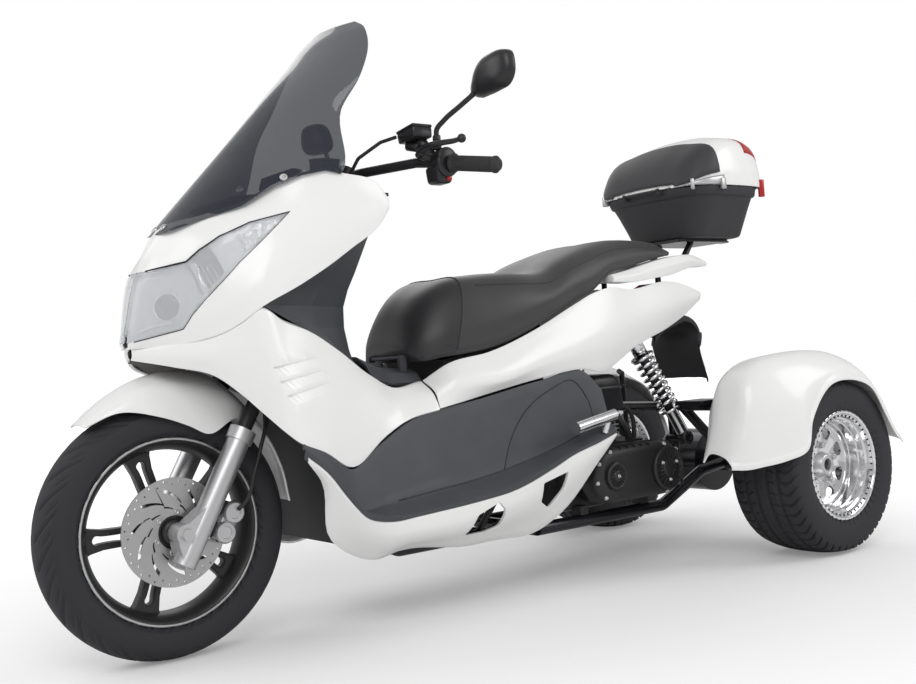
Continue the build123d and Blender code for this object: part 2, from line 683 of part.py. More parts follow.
# Tunnel top between the leg shield and the seat.
TUNNEL_ROWS = (
    (452, [(124, 540), (96, 572), (60, 590), (0, 594)]),
    (513, [(108, 526), (84, 550), (50, 564), (0, 568)]),
    (560, [(100, 524), (84, 546), (50, 558), (0, 562)]),
    (600, [(100, 524), (84, 544), (50, 556), (0, 560)]),
)
SEAT_HINGE = (572, 582)        # station and height of the seat's hinge pin
HINGE_HALF = 60
HINGE_PIN_R = 5
HINGE_BARREL_R = 9
with BuildPart() as tunnel_cover:
    for side in (1, -1):
        add(shell(TUNNEL_ROWS, side=side))
    with BuildSketch(Plane.XY.offset(556)):
        with Locations((at(522), 0)):
            Circle(34)
    extrude(amount=18)
    for side in (1, -1):
        with Locations((at(SEAT_HINGE[0]), side * (HINGE_HALF + RUNNING_GAP + 5), SEAT_HINGE[1] - 14)):
            Box(18, 10, 40)
    add(rod((at(SEAT_HINGE[0]), -HINGE_HALF - 8, SEAT_HINGE[1]),
            (at(SEAT_HINGE[0]), HINGE_HALF + 8, SEAT_HINGE[1]), HINGE_PIN_R))
finish(tunnel_cover, "tunnel_cover")

# Foot panels: the floor's outer edge, its inner edge and the top of the well's wall.
FOOT_ROWS = (
    (200, [(252, 414), (249, 418), (247, 424)]),
    (256, [(261, 357), (250, 364), (238, 399)]),
    (331, [(264, 271), (240, 274), (214, 358)]),
    (400, [(265, 253), (222, 276), (196, 392)]),
    (513, [(265, 256), (212, 284), (174, 443)]),
    (713, [(263, 275), (204, 303), (179, 477)]),
    (895, [(253, 325), (200, 338), (188, 507)]),
    (1030, [(240, 357), (205, 376), (188, 519)]),
    (1084, [(235, 370), (214, 388), (192, 470)]),
)
LOWER_ROWS = (
    (205, [(249, 386), (251, 390), (252, 396)]),
    (240, [(235, 345), (249, 350), (259, 359)]),
    (280, [(192, 215), (240, 278), (262, 308)]),
    (331, [(185, 176), (250, 232), (264, 254)]),
    (387, [(185, 157), (256, 215), (265, 242)]),
    (454, [(180, 165), (258, 212), (265, 245)]),
    (650, [(175, 145), (256, 220), (263, 257)]),
    (713, [(175, 146), (255, 230), (261, 263)]),
    (864, [(175, 150), (247, 272), (253, 303)]),
    (917, [(190, 180), (246, 292), (250, 322)]),
    (1029, [(225, 300), (238, 330), (240, 346)]),
    (1084, [(231, 352), (234, 357), (234, 361)]),
)
SCOOP_OUTLINE = ((600, 180), (616, 225), (679, 246), (700, 225), (700, 190), (660, 180))
WINDOW_OUTLINE = ((819, 270), (905, 288), (898, 250), (862, 205), (823, 225))
for side_name, side in SIDES:
    with BuildPart() as foot_panel:
        add(shell(FOOT_ROWS, side=side))
    finish(foot_panel, f"foot_panel_{side_name}")
    with BuildPart() as lower_fairing:
        add(shell(LOWER_ROWS, side=side))
        for outline in (SCOOP_OUTLINE, WINDOW_OUTLINE):
            add(side_prism(outline, side, inner=120), mode=Mode.SUBTRACT)
    finish(lower_fairing, f"lower_fairing_{side_name}")

# Rear body sides, from the seat's nose to the tail.
TAIL_ROWS = (
    (592, [(178, 463), (162, 498), (114, 527)]),
    (640, [(179, 470), (186, 512), (150, 562)]),
    (745, [(182, 488), (205, 512), (171, 582)]),
    (895, [(190, 512), (204, 548), (174, 630)]),
    (1030, [(190, 524), (203, 578), (170, 686)]),
    (1111, [(180, 513), (195, 602), (165, 716)]),
    (1180, [(170, 540), (184, 620), (160, 728)]),
    (1242, [(160, 567), (174, 640), (152, 722)]),
    (1405, [(135, 615), (152, 672), (134, 742)]),
    (1490, [(116, 644), (130, 688), (120, 736)]),
    (1586, [(98, 690), (104, 706), (99, 714)]),
)
RAIL_ROWS = (
    (1176, [(166, 740), (170, 750), (160, 760), (128, 760), (128, 740)]),
    (1257, [(166, 740), (168, 758), (152, 774), (112, 774), (112, 740)]),
    (1329, [(160, 748), (162, 772), (148, 790), (104, 790), (104, 748)]),
    (1413, [(150, 758), (156, 784), (144, 806), (98, 806), (98, 758)]),
    (1523, [(134, 780), (142, 798), (134, 814), (92, 814), (92, 780)]),
    (1594, [(124, 784), (128, 790), (124, 796), (86, 796), (86, 784)]),
)
for side_name, side in SIDES:
    with BuildPart() as tail_cover:
        add(shell(TAIL_ROWS, side=side))
    finish(tail_cover, f"tail_cover_{side_name}")

with BuildPart() as grab_rail:
    for side in (1, -1):
        for behind, points in RAIL_ROWS:
            with BuildSketch(Plane.YZ.offset(at(behind))):
                with BuildLine():
                    Polyline(*[(side * y, z) for y, z in points], close=True)
                make_face()
        loft(ruled=True)
    with BuildSketch(Plane.XY.offset(786)):
        with Locations((at(1560), 0)):
            Rectangle(60, 190)
    extrude(amount=10)
finish(grab_rail, "grab_rail")

# Seat: rows of station, then half section from its lower edge over the side to the middle.
SEAT_ROWS = (
    (572, [(88, 590), (84, 600), (60, 612), (0, 616)]),
    (592, [(118, 572), (112, 620), (66, 668), (0, 674)]),
    (632, [(148, 577), (140, 640), (84, 716), (0, 724)]),
    (690, [(163, 583), (160, 650), (108, 748), (0, 757)]),
    (776, [(170, 596), (176, 660), (130, 754), (0, 770)]),
    (860, [(172, 622), (184, 680), (150, 752), (0, SEAT_TOP_Z)]),
    (953, [(170, 660), (184, 705), (156, 750), (0, 768)]),
    (1042, [(164, 696), (172, 740), (150, 784), (0, 808)]),
    (1111, [(160, 722), (166, 758), (146, 806), (0, 832)]),
    (1176, [(152, 764), (158, 785), (136, 826), (0, 849)]),
    (1257, [(140, 778), (146, 800), (128, 838), (0, 858)]),
    (1329, [(130, 794), (136, 810), (118, 842), (0, 857)]),
    (1413, [(118, 810), (122, 820), (104, 842), (0, 852)]),
    (1476, [(90, 817), (94, 823), (80, 834), (0, 842)]),
)
with BuildPart() as seat:
    for behind, points in SEAT_ROWS:
        with BuildSketch(Plane.YZ.offset(at(behind))):
            with BuildLine():
                Polyline(*points, *[(-y, z) for y, z in points[-2::-1]], close=True)
            make_face()
    loft(ruled=True)
    add(rod((at(SEAT_HINGE[0]), -HINGE_HALF, SEAT_HINGE[1]), (at(SEAT_HINGE[0]), HINGE_HALF, SEAT_HINGE[1]),
            HINGE_BARREL_R))
    for side in (1, -1):
        with Locations((at(SEAT_HINGE[0]), side * (HINGE_HALF + 10), SEAT_HINGE[1])):
            Box(48, 20, 30, mode=Mode.SUBTRACT)
    with Locations((at(SEAT_HINGE[0] + 4), 0, SEAT_HINGE[1] + 10)):
        Box(14, 2 * HINGE_HALF, 16)
    add(rod((at(SEAT_HINGE[0]), -HINGE_HALF, SEAT_HINGE[1]), (at(SEAT_HINGE[0]), HINGE_HALF, SEAT_HINGE[1]),
            HINGE_PIN_R + RUNNING_GAP), mode=Mode.SUBTRACT)
finish(seat, "seat")

# Storage tub under the seat, open at the top.
TUB_WALL = 4
TUB_HALF_WIDTH = 118
TUB_OUTLINE = (
    (652, 440), (958, 440), (958, 654), (953, 652), (860, 614), (776, 589), (690, 577), (652, 571),
)
TUB_INNER = ((656, 444), (954, 444), (954, 700), (656, 700))
with BuildPart() as storage_tub:
    for outline, half_width, mode in (
        (TUB_OUTLINE, TUB_HALF_WIDTH, Mode.ADD),
        (TUB_INNER, TUB_HALF_WIDTH - TUB_WALL, Mode.SUBTRACT),
    ):
        with BuildSketch(Plane.XZ):
            with BuildLine():
                Polyline(*[(at(behind), z) for behind, z in outline], close=True)
            make_face()
        extrude(amount=half_width, both=True, mode=mode)
finish(storage_tub, "storage_tub")

# ---------------------------------------------------------------- frame
SHOCK_TOP = (1266, 126, 604)   # station, side and height of the shock absorbers' eyes
SHOCK_FOOT = (1398, 178, 318)
SHOCK_PIN_R = 8
SHOCK_EYE_R = 17
SPRING_R = 30
SPRING_TURNS = 9
HEAD_LOW = 398
HEAD_LENGTH = 220
RAIL_POINTS = (
    (300, 20, 664), (366, 70, 560), (396, FRAME_Y, 400), (424, FRAME_Y, 220), (500, FRAME_Y, 150),
    (820, FRAME_Y, 150), (905, 112, 300), (985, 136, 470), (1100, 136, 596), (1440, 98, 706),
)
CROSS_R = 11
CROSS_TUBES = (                # station, height and half width; those past the rails carry panels
    (366, 548, 200), (500, 150, 100), (760, 150, 100), (958 + CROSS_R + RUNNING_GAP, 452, 132),
    (1100, 596, 230), (1430, 703, 165),
)
STAY_R = 8
STAYS = (                      # from the frame to what each carries: cowl, lower and foot panels,
    ((330, 10, 742), (225, 250, 832)),          # splash guard, leg shield, tunnel cover,
    ((500, 90, 150), (500, 285, 222)),          # grab rail, mudguard and engine cradle
    ((760, 90, 150), (760, 280, 232)),
    ((520, 90, 150), (520, 245, 300)),
    ((740, 90, 150), (740, 240, 320)),
    ((396, 100, 400), (332.5, 100, 400)),
    ((421, 100, 240), (343.4, 100, 240)),
    ((350, 20, 750), (429.6, 20, 750)),
    ((500, 12, 150), (500, 12, 555.7)),
    ((1413, 104, 706), (1413, 104, 756.8)),
    ((1438, 70, 703), (1438, 70, 629.9)),
    ((905, 100, 296), (905, 100, 150)),
)
with BuildPart() as frame_tubes:
    with BuildSketch(steer_plane(HEAD_LOW)):
        Circle(HEAD_R)
    extrude(amount=HEAD_LENGTH)
    for side in (1, -1):
        add(tube([(at(b), side * y, z) for b, y, z in RAIL_POINTS], TUBE_R - 2, 28))
    for behind, z, half_width in CROSS_TUBES:
        add(rod((at(behind), -half_width, z), (at(behind), half_width, z), CROSS_R))
    for side in (1, -1):
        for start, end in STAYS:
            add(rod((at(start[0]), side * start[1], start[2]), (at(end[0]), side * end[1], end[2]), STAY_R))
        for rows in (COWL_ROWS, SIDE_ROWS, LOWER_ROWS, FOOT_ROWS[1:8], TAIL_ROWS):
            add(beyond(rows, side), mode=Mode.SUBTRACT)
    for side in (1, -1):
        add(rod((at(SHOCK_TOP[0]), side * 94, SHOCK_TOP[2]),
                (at(SHOCK_TOP[0]), side * (SHOCK_TOP[1] + 16), SHOCK_TOP[2]), SHOCK_PIN_R))
        add(rod((at(SHOCK_TOP[0]), side * 98, SHOCK_TOP[2]), (at(SHOCK_TOP[0]), side * 106, 644), 10))
    with BuildSketch(steer_plane(HEAD_LOW - 10)):
        Circle(HEAD_BORE_R)
    extrude(amount=HEAD_LENGTH + 20, mode=Mode.SUBTRACT)
    add(rod((at(905), -150, 140), (at(905), 150, 140), TUBE_R + RUNNING_GAP), mode=Mode.SUBTRACT)
finish(frame_tubes, "frame_tubes")

# Arch roof under the nose and splash guard behind the front wheel.
ROOF_ROWS = (
    (-40, [(0, 612), (12, 610), (40, 606)]),
    (0, [(0, 614), (56, 604), (125, 598)]),
    (57, [(0, 616), (88, 594), (178, 572)]),
    (104, [(0, 612), (104, 580), (214, 528)]),
)
with BuildPart() as arch_roof:
    for side in (1, -1):
        add(shell(ROOF_ROWS, wall=4, side=side))
    for side in (1, -1):
        add(beyond(SIDE_ROWS, side), mode=Mode.SUBTRACT)
finish(arch_roof, "arch_roof")

GUARD_OUTLINE = (
    (342, 190), (332, 300), (326, 420), (330, 545),
    (335, 545), (331, 420), (337, 300), (347, 190),
)
with BuildPart() as splash_guard:
    with BuildSketch(Plane.XZ):
        with BuildLine():
            Polyline(*[(at(behind), z) for behind, z in GUARD_OUTLINE], close=True)
        make_face()
    extrude(amount=168, both=True)
finish(splash_guard, "splash_guard")

# ---------------------------------------------------------------- tail
with BuildPart() as tail_lamp:
    for behind, half_width, low, high in ((1480, 100, 668, 722), (1560, 94, 676, 716), (1604, 78, 686, 708)):
        with BuildSketch(Plane.YZ.offset(at(behind))):
            with Locations((0, (low + high) / 2)):
                RectangleRounded(2 * half_width, high - low, 9)
    loft(ruled=True)
finish(tail_lamp, "tail_lamp")

LAMP_SEAT_Z = 671.5            # the mudguard's boss meets the tail lamp's sloping underside
MUDGUARD_OUTLINE = (
    (1400, 600), (1440, 628), (1540, 654), (1598, 606), (1586, 562), (1618, 472),
    (1606, 464), (1572, 556), (1576, 598), (1530, 638), (1446, 614), (1410, 590),
)
with BuildPart() as rear_mudguard:
    with BuildSketch(Plane.XZ):
        with BuildLine():
            Polyline(*[(at(behind), z) for behind, z in MUDGUARD_OUTLINE], close=True)
        make_face()
    extrude(amount=88, both=True)
    with BuildSketch(Plane.XY.offset(644)):
        with Locations((at(1530), 0)):
            Rectangle(24, 90)
    extrude(amount=LAMP_SEAT_Z - 644)
finish(rear_mudguard, "rear_mudguard")

# ---------------------------------------------------------------- top case
RACK_Z = 858
CASE_FLOOR_Z = 867
SEAM_Z = 1003
CASE_WALL = 4
# Sections: height, station of the centre, length, width, corner radius.
CASE_ROWS = ((CASE_FLOOR_Z, 1660, 230, 262, 50), (SEAM_Z, 1648, 306, 392, 92))
LID_ROWS = (
    (SEAM_Z + 1, 1648, 320, 404, 98), (1080, 1652, 316, 396, 98),
    (1132, 1660, 278, 340, 84), (1166, 1668, 190, 230, 60),
)


def case_loft(rows, shrink, rise):
    """Loft of rounded rectangles, each shrunk on every side and raised."""
    with BuildPart() as block:
        for z, behind, length, width, corner in rows:
            with BuildSketch(Plane.XY.offset(z + rise)):
                with Locations((at(behind), 0)):
                    RectangleRounded(length - 2 * shrink, width - 2 * shrink, corner - shrink)
        loft(ruled=True)
    return block.part


CASE_HINGE = (1478, SEAM_Z)     # station and height of the lid's hinge pin
with BuildPart() as case_base:
    add(case_loft(CASE_ROWS, 0, 0))
    for side in (1, -1):
        with Locations((at(CASE_HINGE[0] + 8), side * (HINGE_HALF + RUNNING_GAP + 4), SEAM_Z - 6)):
            Box(28, 8, 12 - 2 * RUNNING_GAP)
        add(rod((at(CASE_HINGE[0]), side * (HINGE_HALF + RUNNING_GAP), SEAM_Z),
                (at(CASE_HINGE[0]), side * (HINGE_HALF + RUNNING_GAP + 8), SEAM_Z), 7))
    add(rod((at(CASE_HINGE[0]), -HINGE_HALF - 4, SEAM_Z), (at(CASE_HINGE[0]), HINGE_HALF + 4, SEAM_Z), 4))
    add(case_loft(CASE_ROWS, CASE_WALL, CASE_WALL), mode=Mode.SUBTRACT)
finish(case_base, "case_base")

with BuildPart() as case_lid:
    add(case_loft(LID_ROWS, 0, 0))
    add(case_loft(LID_ROWS, CASE_WALL, -CASE_WALL), mode=Mode.SUBTRACT)
    add(rod((at(CASE_HINGE[0]), -HINGE_HALF, SEAM_Z), (at(CASE_HINGE[0]), HINGE_HALF, SEAM_Z), 7))
    with Locations((at(CASE_HINGE[0] + 6), 0, SEAM_Z + 4.5)):
        Box(14, 2 * HINGE_HALF, 7)
    add(rod((at(CASE_HINGE[0]), -HINGE_HALF, SEAM_Z), (at(CASE_HINGE[0]), HINGE_HALF, SEAM_Z),
            4 + RUNNING_GAP), mode=Mode.SUBTRACT)
finish(case_lid, "case_lid")

with BuildPart() as case_rack:
    with BuildSketch(Plane.XY.offset(RACK_Z)):
        with Locations((at(1650), 0)):
            RectangleRounded(210, 170, 20)
        with Locations((at(1650), 0)):
            with GridLocations(120, 100, 2, 2):
                Circle(4, mode=Mode.SUBTRACT)
    extrude(amount=CASE_FLOOR_Z - RUNNING_GAP - RACK_Z)
    for side in (1, -1):
        add(rod((at(1566), side * 60, 804), (at(1610), side * 60, RACK_Z + 2), 9))
        with BuildSketch(Plane.XY.offset(796 + RUNNING_GAP)):
            with Locations((at(1566), side * 60)):
                Circle(14)
        extrude(amount=8)
finish(case_rack, "case_rack")

# ---------------------------------------------------------------- engine and rear axle
ENGINE_LOW = 174
with BuildPart() as engine_block:
    with BuildSketch(Plane.XY.offset(ENGINE_LOW)):
        with Locations((at(1170), 0)):
            RectangleRounded(320, 208, 30)
    extrude(amount=150)
    with BuildSketch(Plane.XY.offset(ENGINE_LOW + 150)):
        with Locations((at(1150), 0)):
            RectangleRounded(200, 150, 20)
    extrude(amount=84)
    for behind in (1060, 1280):
        for side in (1, -1):
            with Locations((at(behind), side * (CRADLE_Y - 9), ENGINE_LOW - 8)):
                Box(26, 34, 22)
    for side in (1, -1):
        add(rod((at(900), side * CRADLE_Y, 140), (at(1340), side * CRADLE_Y, 140), TUBE_R + RUNNING_GAP),
            mode=Mode.SUBTRACT)
finish(engine_block, "engine_block")

BELT_Y = 104 + RUNNING_GAP
BELT_FRONT, BELT_REAR, BELT_Z, BELT_R = 1112, 1300, 250, 70
with BuildPart() as belt_case:
    with BuildSketch(Plane(origin=(0, BELT_Y, BELT_Z), x_dir=(1, 0, 0), z_dir=(0, -1, 0))):
        with Locations((at((BELT_FRONT + BELT_REAR) / 2), 0)):
            SlotCenterToCenter(BELT_REAR - BELT_FRONT, 2 * BELT_R)
    extrude(amount=-90)
    for behind, radius, height in ((BELT_REAR, 56, 14), (BELT_FRONT, 34, 16)):
        with BuildSketch(Plane(origin=(at(behind), BELT_Y + 90, BELT_Z), x_dir=(1, 0, 0), z_dir=(0, 1, 0))):
            Circle(radius)
        extrude(amount=height)
finish(belt_case, "belt_case")

with BuildPart() as air_box:
    with BuildSketch(Plane.XY.offset(ENGINE_LOW + 234 + RUNNING_GAP)):
        with Locations((at(1180), 40)):
            RectangleRounded(150, 150, 24)
    extrude(amount=96, taper=5)
finish(air_box, "air_box")

MUFFLER_R = 50
with BuildPart() as muffler:
    add(rod((at(1100), -200, 214), (at(1376), -214, 246), MUFFLER_R))
    add(rod((at(1366), -213.5, 245), (at(1430), -217, 252), 20))
    add(tube([(at(1050), -104 - RUNNING_GAP, 290), (at(1050), -150, 290),
              (at(1070), -192, 232), (at(1110), -200, 216)], 16, 20))
finish(muffler, "muffler")

AXLE_END = REAR_TRACK / 2 + REAR_RIM_WIDTH / 2 - REAR_RIM_FACE_DEPTH - REAR_RIM_WALL - 6
BEAM = (1414, 402)             # station and height of the cross beam
CRADLE_POINTS = ((905, CRADLE_Y, 140), (1355, CRADLE_Y, 140), (1520, CRADLE_Y, 214), (1640, CRADLE_Y, 229.5))
FENDER_WALL_REAR = 5
FENDER_ROWS_REAR = (
    (1268, [(430, 256), (425, 275), (400, 290), (362, 292), (344, 272)]),
    (1300, [(455, 254), (452, 330), (420, 380), (368, 385), (336, 330)]),
    (1335, [(472, 258), (472, 380), (430, 470), (366, 476), (322, 400)]),
    (1400, [(499, 268), (496, 430), (440, 512), (364, 510), (304, 448)]),
    (1455, [(516, 286), (510, 440), (450, 522), (364, 518), (294, 470)]),
    (1485, [(516, 360), (512, 452), (455, 525), (364, 520), (290, 480)]),
    (1571, [(517, 442), (514, 470), (460, 528), (364, 522), (288, 488)]),
    (1659, [(517, 449), (514, 468), (460, 520), (366, 512), (288, 478)]),
    (1746, [(517, 422), (514, 442), (462, 486), (370, 480), (288, 446)]),
    (1807, [(516, 345), (512, 385), (462, 425), (372, 420), (292, 386)]),
    (1848, [(514, 293), (510, 325), (464, 362), (376, 358), (300, 326)]),
    (WHEELBASE + TAIL, [(500, 262), (496, 270), (464, 282), (388, 280), (336, 262)]),
)

with BuildPart() as axle_carrier:
    add(rod((X_REAR, -AXLE_END, REAR_TYRE_R), (X_REAR, AXLE_END, REAR_TYRE_R), AXLE_R))
    add(rod((X_REAR, -AXLE_END - 30, REAR_TYRE_R), (X_REAR, AXLE_END + 30, REAR_TYRE_R), STUB_R))
    add(rod((X_REAR, -70, REAR_TYRE_R), (X_REAR, 70, REAR_TYRE_R), 88))
    add(rod((at(905), -CRADLE_Y, 140), (at(905), CRADLE_Y, 140), TUBE_R))
    add(rod((at(BEAM[0]), -296, BEAM[1]), (at(BEAM[0]), 296, BEAM[1]), 13))
    for side in (1, -1):
        add(tube([(at(b), side * y, z) for b, y, z in CRADLE_POINTS], TUBE_R, 40))
        add(rod((at(BEAM[0]), side * 160, BEAM[1]), (at(1600), side * 160, 236), 14))
        add(rod((at(1430), side * CRADLE_Y, 176), (at(BEAM[0]), side * CRADLE_Y, BEAM[1]), 12))
        with Locations((at(BEAM[0] - 36), side * 254, BEAM[1] + 13)):
            Box(100, 84, 12)
        add(rod((at(SHOCK_FOOT[0]), side * CRADLE_Y, SHOCK_FOOT[2]),
                (at(SHOCK_FOOT[0]), side * (SHOCK_FOOT[1] + 20), SHOCK_FOOT[2]), SHOCK_PIN_R))
        add(rod((at(SHOCK_FOOT[0]), side * CRADLE_Y, SHOCK_FOOT[2]), (at(1424), side * CRADLE_Y, 300), 12))
        add(rod((at(BEAM[0]), side * 286, BEAM[1]), (at(1462), side * 372, 540), 8))
        add(rod((X_REAR, side * 268, REAR_TYRE_R), (at(1630), side * 270, 490), 8))
        add(rod((at(1630), side * 266, 486), (at(1620), side * 350, 536), 8))
    for side in (1, -1):
        add(beyond(FENDER_ROWS_REAR, side, FENDER_WALL_REAR), mode=Mode.SUBTRACT)
finish(axle_carrier, "axle_carrier")

for side_name, side in SIDES:
    with BuildPart() as rear_fender:
        add(shell(FENDER_ROWS_REAR, wall=FENDER_WALL_REAR, side=side))
    finish(rear_fender, f"rear_fender_{side_name}")

# Shock absorbers, with the spring as a ribbed barrel between its two seats.
with BuildPart() as shock_absorbers:
    for side in (1, -1):
        top = Vector(at(SHOCK_TOP[0]), side * SHOCK_TOP[1], SHOCK_TOP[2])
        foot = Vector(at(SHOCK_FOOT[0]), side * SHOCK_FOOT[1], SHOCK_FOOT[2])
        along = (top - foot).normalized()
        length = (top - foot).length
        frame_plane = Plane(origin=foot, x_dir=Vector(0, 1, 0).cross(along), z_dir=along)
        add(rod(foot, top, 15))
        for eye in (foot, top):
            add(rod(eye - Vector(0, 13, 0), eye + Vector(0, 13, 0), SHOCK_EYE_R))
        with BuildSketch(Plane(origin=foot, x_dir=frame_plane.x_dir, z_dir=frame_plane.y_dir * -1)):
            pitch = (length - 150) / SPRING_TURNS
            zigzag = []
            for turn in range(SPRING_TURNS):
                zigzag += [(SPRING_R - 6, 80 + turn * pitch), (SPRING_R, 80 + (turn + 0.5) * pitch)]
            with BuildLine():
                Polyline((0, 74), (SPRING_R + 3, 74), (SPRING_R + 3, 80), *zigzag,
                         (SPRING_R - 6, length - 70), (SPRING_R + 3, length - 70),
                         (SPRING_R + 3, length - 62),
                         (0, length - 62), close=True)
            make_face()
        revolve(axis=Axis(foot, along))
        for eye in (foot, top):
            add(rod(eye - Vector(0, 40, 0), eye + Vector(0, 40, 0), SHOCK_PIN_R + SHAFT_GAP),
                mode=Mode.SUBTRACT)
finish(shock_absorbers, "shock_absorbers")

# Folded footrests for the passenger, on the rear ends of the foot panels.
with BuildPart() as passenger_pegs:
    for side in (1, -1):
        add(rod((at(925), side * 258, 388), (at(1072), side * 240, 408), 15))
        add(rod((at(1047), side * 230, 366), (at(1056), side * 240, 404), 9))
    for side in (1, -1):
        add(shell(FOOT_ROWS, wall=40, side=side, depth=-RUNNING_GAP), mode=Mode.SUBTRACT)
finish(passenger_pegs, "passenger_pegs")
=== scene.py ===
"""Looks of a motorized trike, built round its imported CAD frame.

Metres. +X is forward, +Y is left, +Z is up. Stations are given as millimetres behind the front
axle, as in the part's own source, and turned into metres by `at` and `place`.
"""

from __future__ import annotations

import json
import logging
import math
import sys
from dataclasses import dataclass, field
from enum import Enum
from typing import Any, Callable, Iterable, Sequence

import bmesh
import bpy
from mathutils import Matrix, Vector
from mathutils.bvhtree import BVHTree

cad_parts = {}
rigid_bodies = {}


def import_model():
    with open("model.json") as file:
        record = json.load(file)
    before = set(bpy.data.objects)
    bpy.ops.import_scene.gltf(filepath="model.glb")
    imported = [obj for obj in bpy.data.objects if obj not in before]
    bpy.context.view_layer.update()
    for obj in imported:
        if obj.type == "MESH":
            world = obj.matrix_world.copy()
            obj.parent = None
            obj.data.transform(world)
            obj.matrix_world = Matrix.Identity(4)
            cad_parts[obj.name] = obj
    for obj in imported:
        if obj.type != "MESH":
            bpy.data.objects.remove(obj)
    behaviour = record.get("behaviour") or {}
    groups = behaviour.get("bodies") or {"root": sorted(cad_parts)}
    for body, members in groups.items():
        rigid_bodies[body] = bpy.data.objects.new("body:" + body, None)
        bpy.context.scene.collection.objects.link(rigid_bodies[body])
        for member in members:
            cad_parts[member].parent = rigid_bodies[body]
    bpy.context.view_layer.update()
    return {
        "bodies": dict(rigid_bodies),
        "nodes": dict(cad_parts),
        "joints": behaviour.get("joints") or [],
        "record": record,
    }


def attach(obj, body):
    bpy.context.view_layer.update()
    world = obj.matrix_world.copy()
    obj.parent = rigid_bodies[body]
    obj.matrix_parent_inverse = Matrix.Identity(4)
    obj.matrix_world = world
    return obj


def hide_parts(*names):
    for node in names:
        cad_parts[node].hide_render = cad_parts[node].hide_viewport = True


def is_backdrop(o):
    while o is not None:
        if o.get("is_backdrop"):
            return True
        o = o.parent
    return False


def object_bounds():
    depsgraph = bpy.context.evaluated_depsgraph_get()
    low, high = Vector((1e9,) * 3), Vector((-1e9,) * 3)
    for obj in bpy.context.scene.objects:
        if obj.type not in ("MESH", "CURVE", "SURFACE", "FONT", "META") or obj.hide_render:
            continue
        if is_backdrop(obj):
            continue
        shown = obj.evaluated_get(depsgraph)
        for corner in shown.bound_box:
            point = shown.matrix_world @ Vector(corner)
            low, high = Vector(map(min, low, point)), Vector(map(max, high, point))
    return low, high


LOG = logging.getLogger("trike")

WHEELBASE = 1.640
TAIL = 0.268
FRONT_TYRE_R = 0.262
X_REAR = -(WHEELBASE + FRONT_TYRE_R - TAIL) / 2
X_FRONT = X_REAR + WHEELBASE
MM = 0.001
CASTER = math.radians(30)
AXLE_LEAD = 0.055
STEER_X = Vector((math.cos(CASTER), 0, math.sin(CASTER)))
STEER_Z = Vector((-math.sin(CASTER), 0, math.cos(CASTER)))
STEER_ORIGIN = Vector((X_FRONT, 0, FRONT_TYRE_R)) - AXLE_LEAD * STEER_X

FRONT_CENTRE = Vector((X_FRONT, 0, FRONT_TYRE_R))
REAR_TYRE_R = 0.2295
REAR_HALF_TRACK = 0.401

UP = Vector((0, 0, 1))
LEFT = Vector((0, 1, 0))
SIDES = (("left", 1), ("right", -1))
SEAM_BEHIND = 668              # station of the seat's nose seam at 600 mm height
SEAM_SLANT = 0.30              # how far it leans back per unit of height
PANEL_EDGE = 0.0012            # rounding of a panel's rims
RIM_ANGLE = 50                 # edges that turn by more than this many degrees are rims
SKIN_WALL = 0.004              # wall of a fender or of the case's dome
WELD = 1e-6                    # points closer than this are one

Point = tuple[float, float, float]
Pairs = tuple[tuple[float, float], ...]
Rows = tuple[tuple[float, Pairs], ...]
Loop = Sequence[tuple[float, float]]
Piece = bpy.types.Object
Mesh = bmesh.types.BMesh
Net = Sequence[Sequence[Vector]]


def at(behind: float) -> float:
    """X in metres of a station given in millimetres behind the front axle."""
    return X_FRONT - behind * MM


def place(behind: float, y: float, z: float) -> Vector:
    """Point in metres from a station, side and height in millimetres."""
    return Vector((at(behind), y * MM, z * MM))


def in_metres(points: Loop) -> Loop:
    """Turn pairs of millimetres into metres."""
    return [(first * MM, second * MM) for first, second in points]


def to_side(point: Point, side: int) -> Vector:
    """Place a left-hand point, or its mirror image when the side is -1."""
    behind, y, z = point
    return place(behind, side * y, z)


def shifted(behind: float, y: float, z: float) -> Matrix:
    """Shift to a point given by its station, side and height in millimetres."""
    return Matrix.Translation(place(behind, y, z))


def steer(along: float, forward: float = 0, side: float = 0) -> Vector:
    """Point in metres from millimetres up the steering axis, forward of it and to its left."""
    return STEER_ORIGIN + MM * (along * STEER_Z + forward * STEER_X) + Vector((0, side * MM, 0))


# ---------------------------------------------------------------- shader graphs


class Value:
    """A shader value that can be used in Python expressions."""

    def __init__(self, graph: Graph, socket: Any) -> None:
        """Wrap a socket.

        Args:
            graph: The graph that new nodes go into.
            socket: An output socket, or a plain number.
        """
        self.graph = graph
        self.socket = socket

    def _math(self, operation: str, other: Any) -> Value:
        """Add one Math node on this value and another."""
        return self.graph.node("ShaderNodeMath", {"operation": operation}, {0: self, 1: other})

    def __add__(self, other: Any) -> Value:
        """Sum."""
        return self._math("ADD", other)

    __radd__ = __add__

    def __sub__(self, other: Any) -> Value:
        """Difference."""
        return self._math("SUBTRACT", other)

    def __mul__(self, other: Any) -> Value:
        """Product."""
        return self._math("MULTIPLY", other)

    __rmul__ = __mul__

    def __truediv__(self, other: Any) -> Value:
        """Quotient."""
        return self._math("DIVIDE", other)

    def __pow__(self, other: Any) -> Value:
        """Power."""
        return self._math("POWER", other)

    def above(self, limit: Any) -> Value:
        """1 where the value exceeds the limit."""
        return self._math("GREATER_THAN", limit)

    def ramp(self, stops: Sequence[tuple[float, Any]]) -> Value:
        """Send the value through a colour ramp."""
        return self.graph.node("ShaderNodeValToRGB", {"stops": stops}, {0: self})


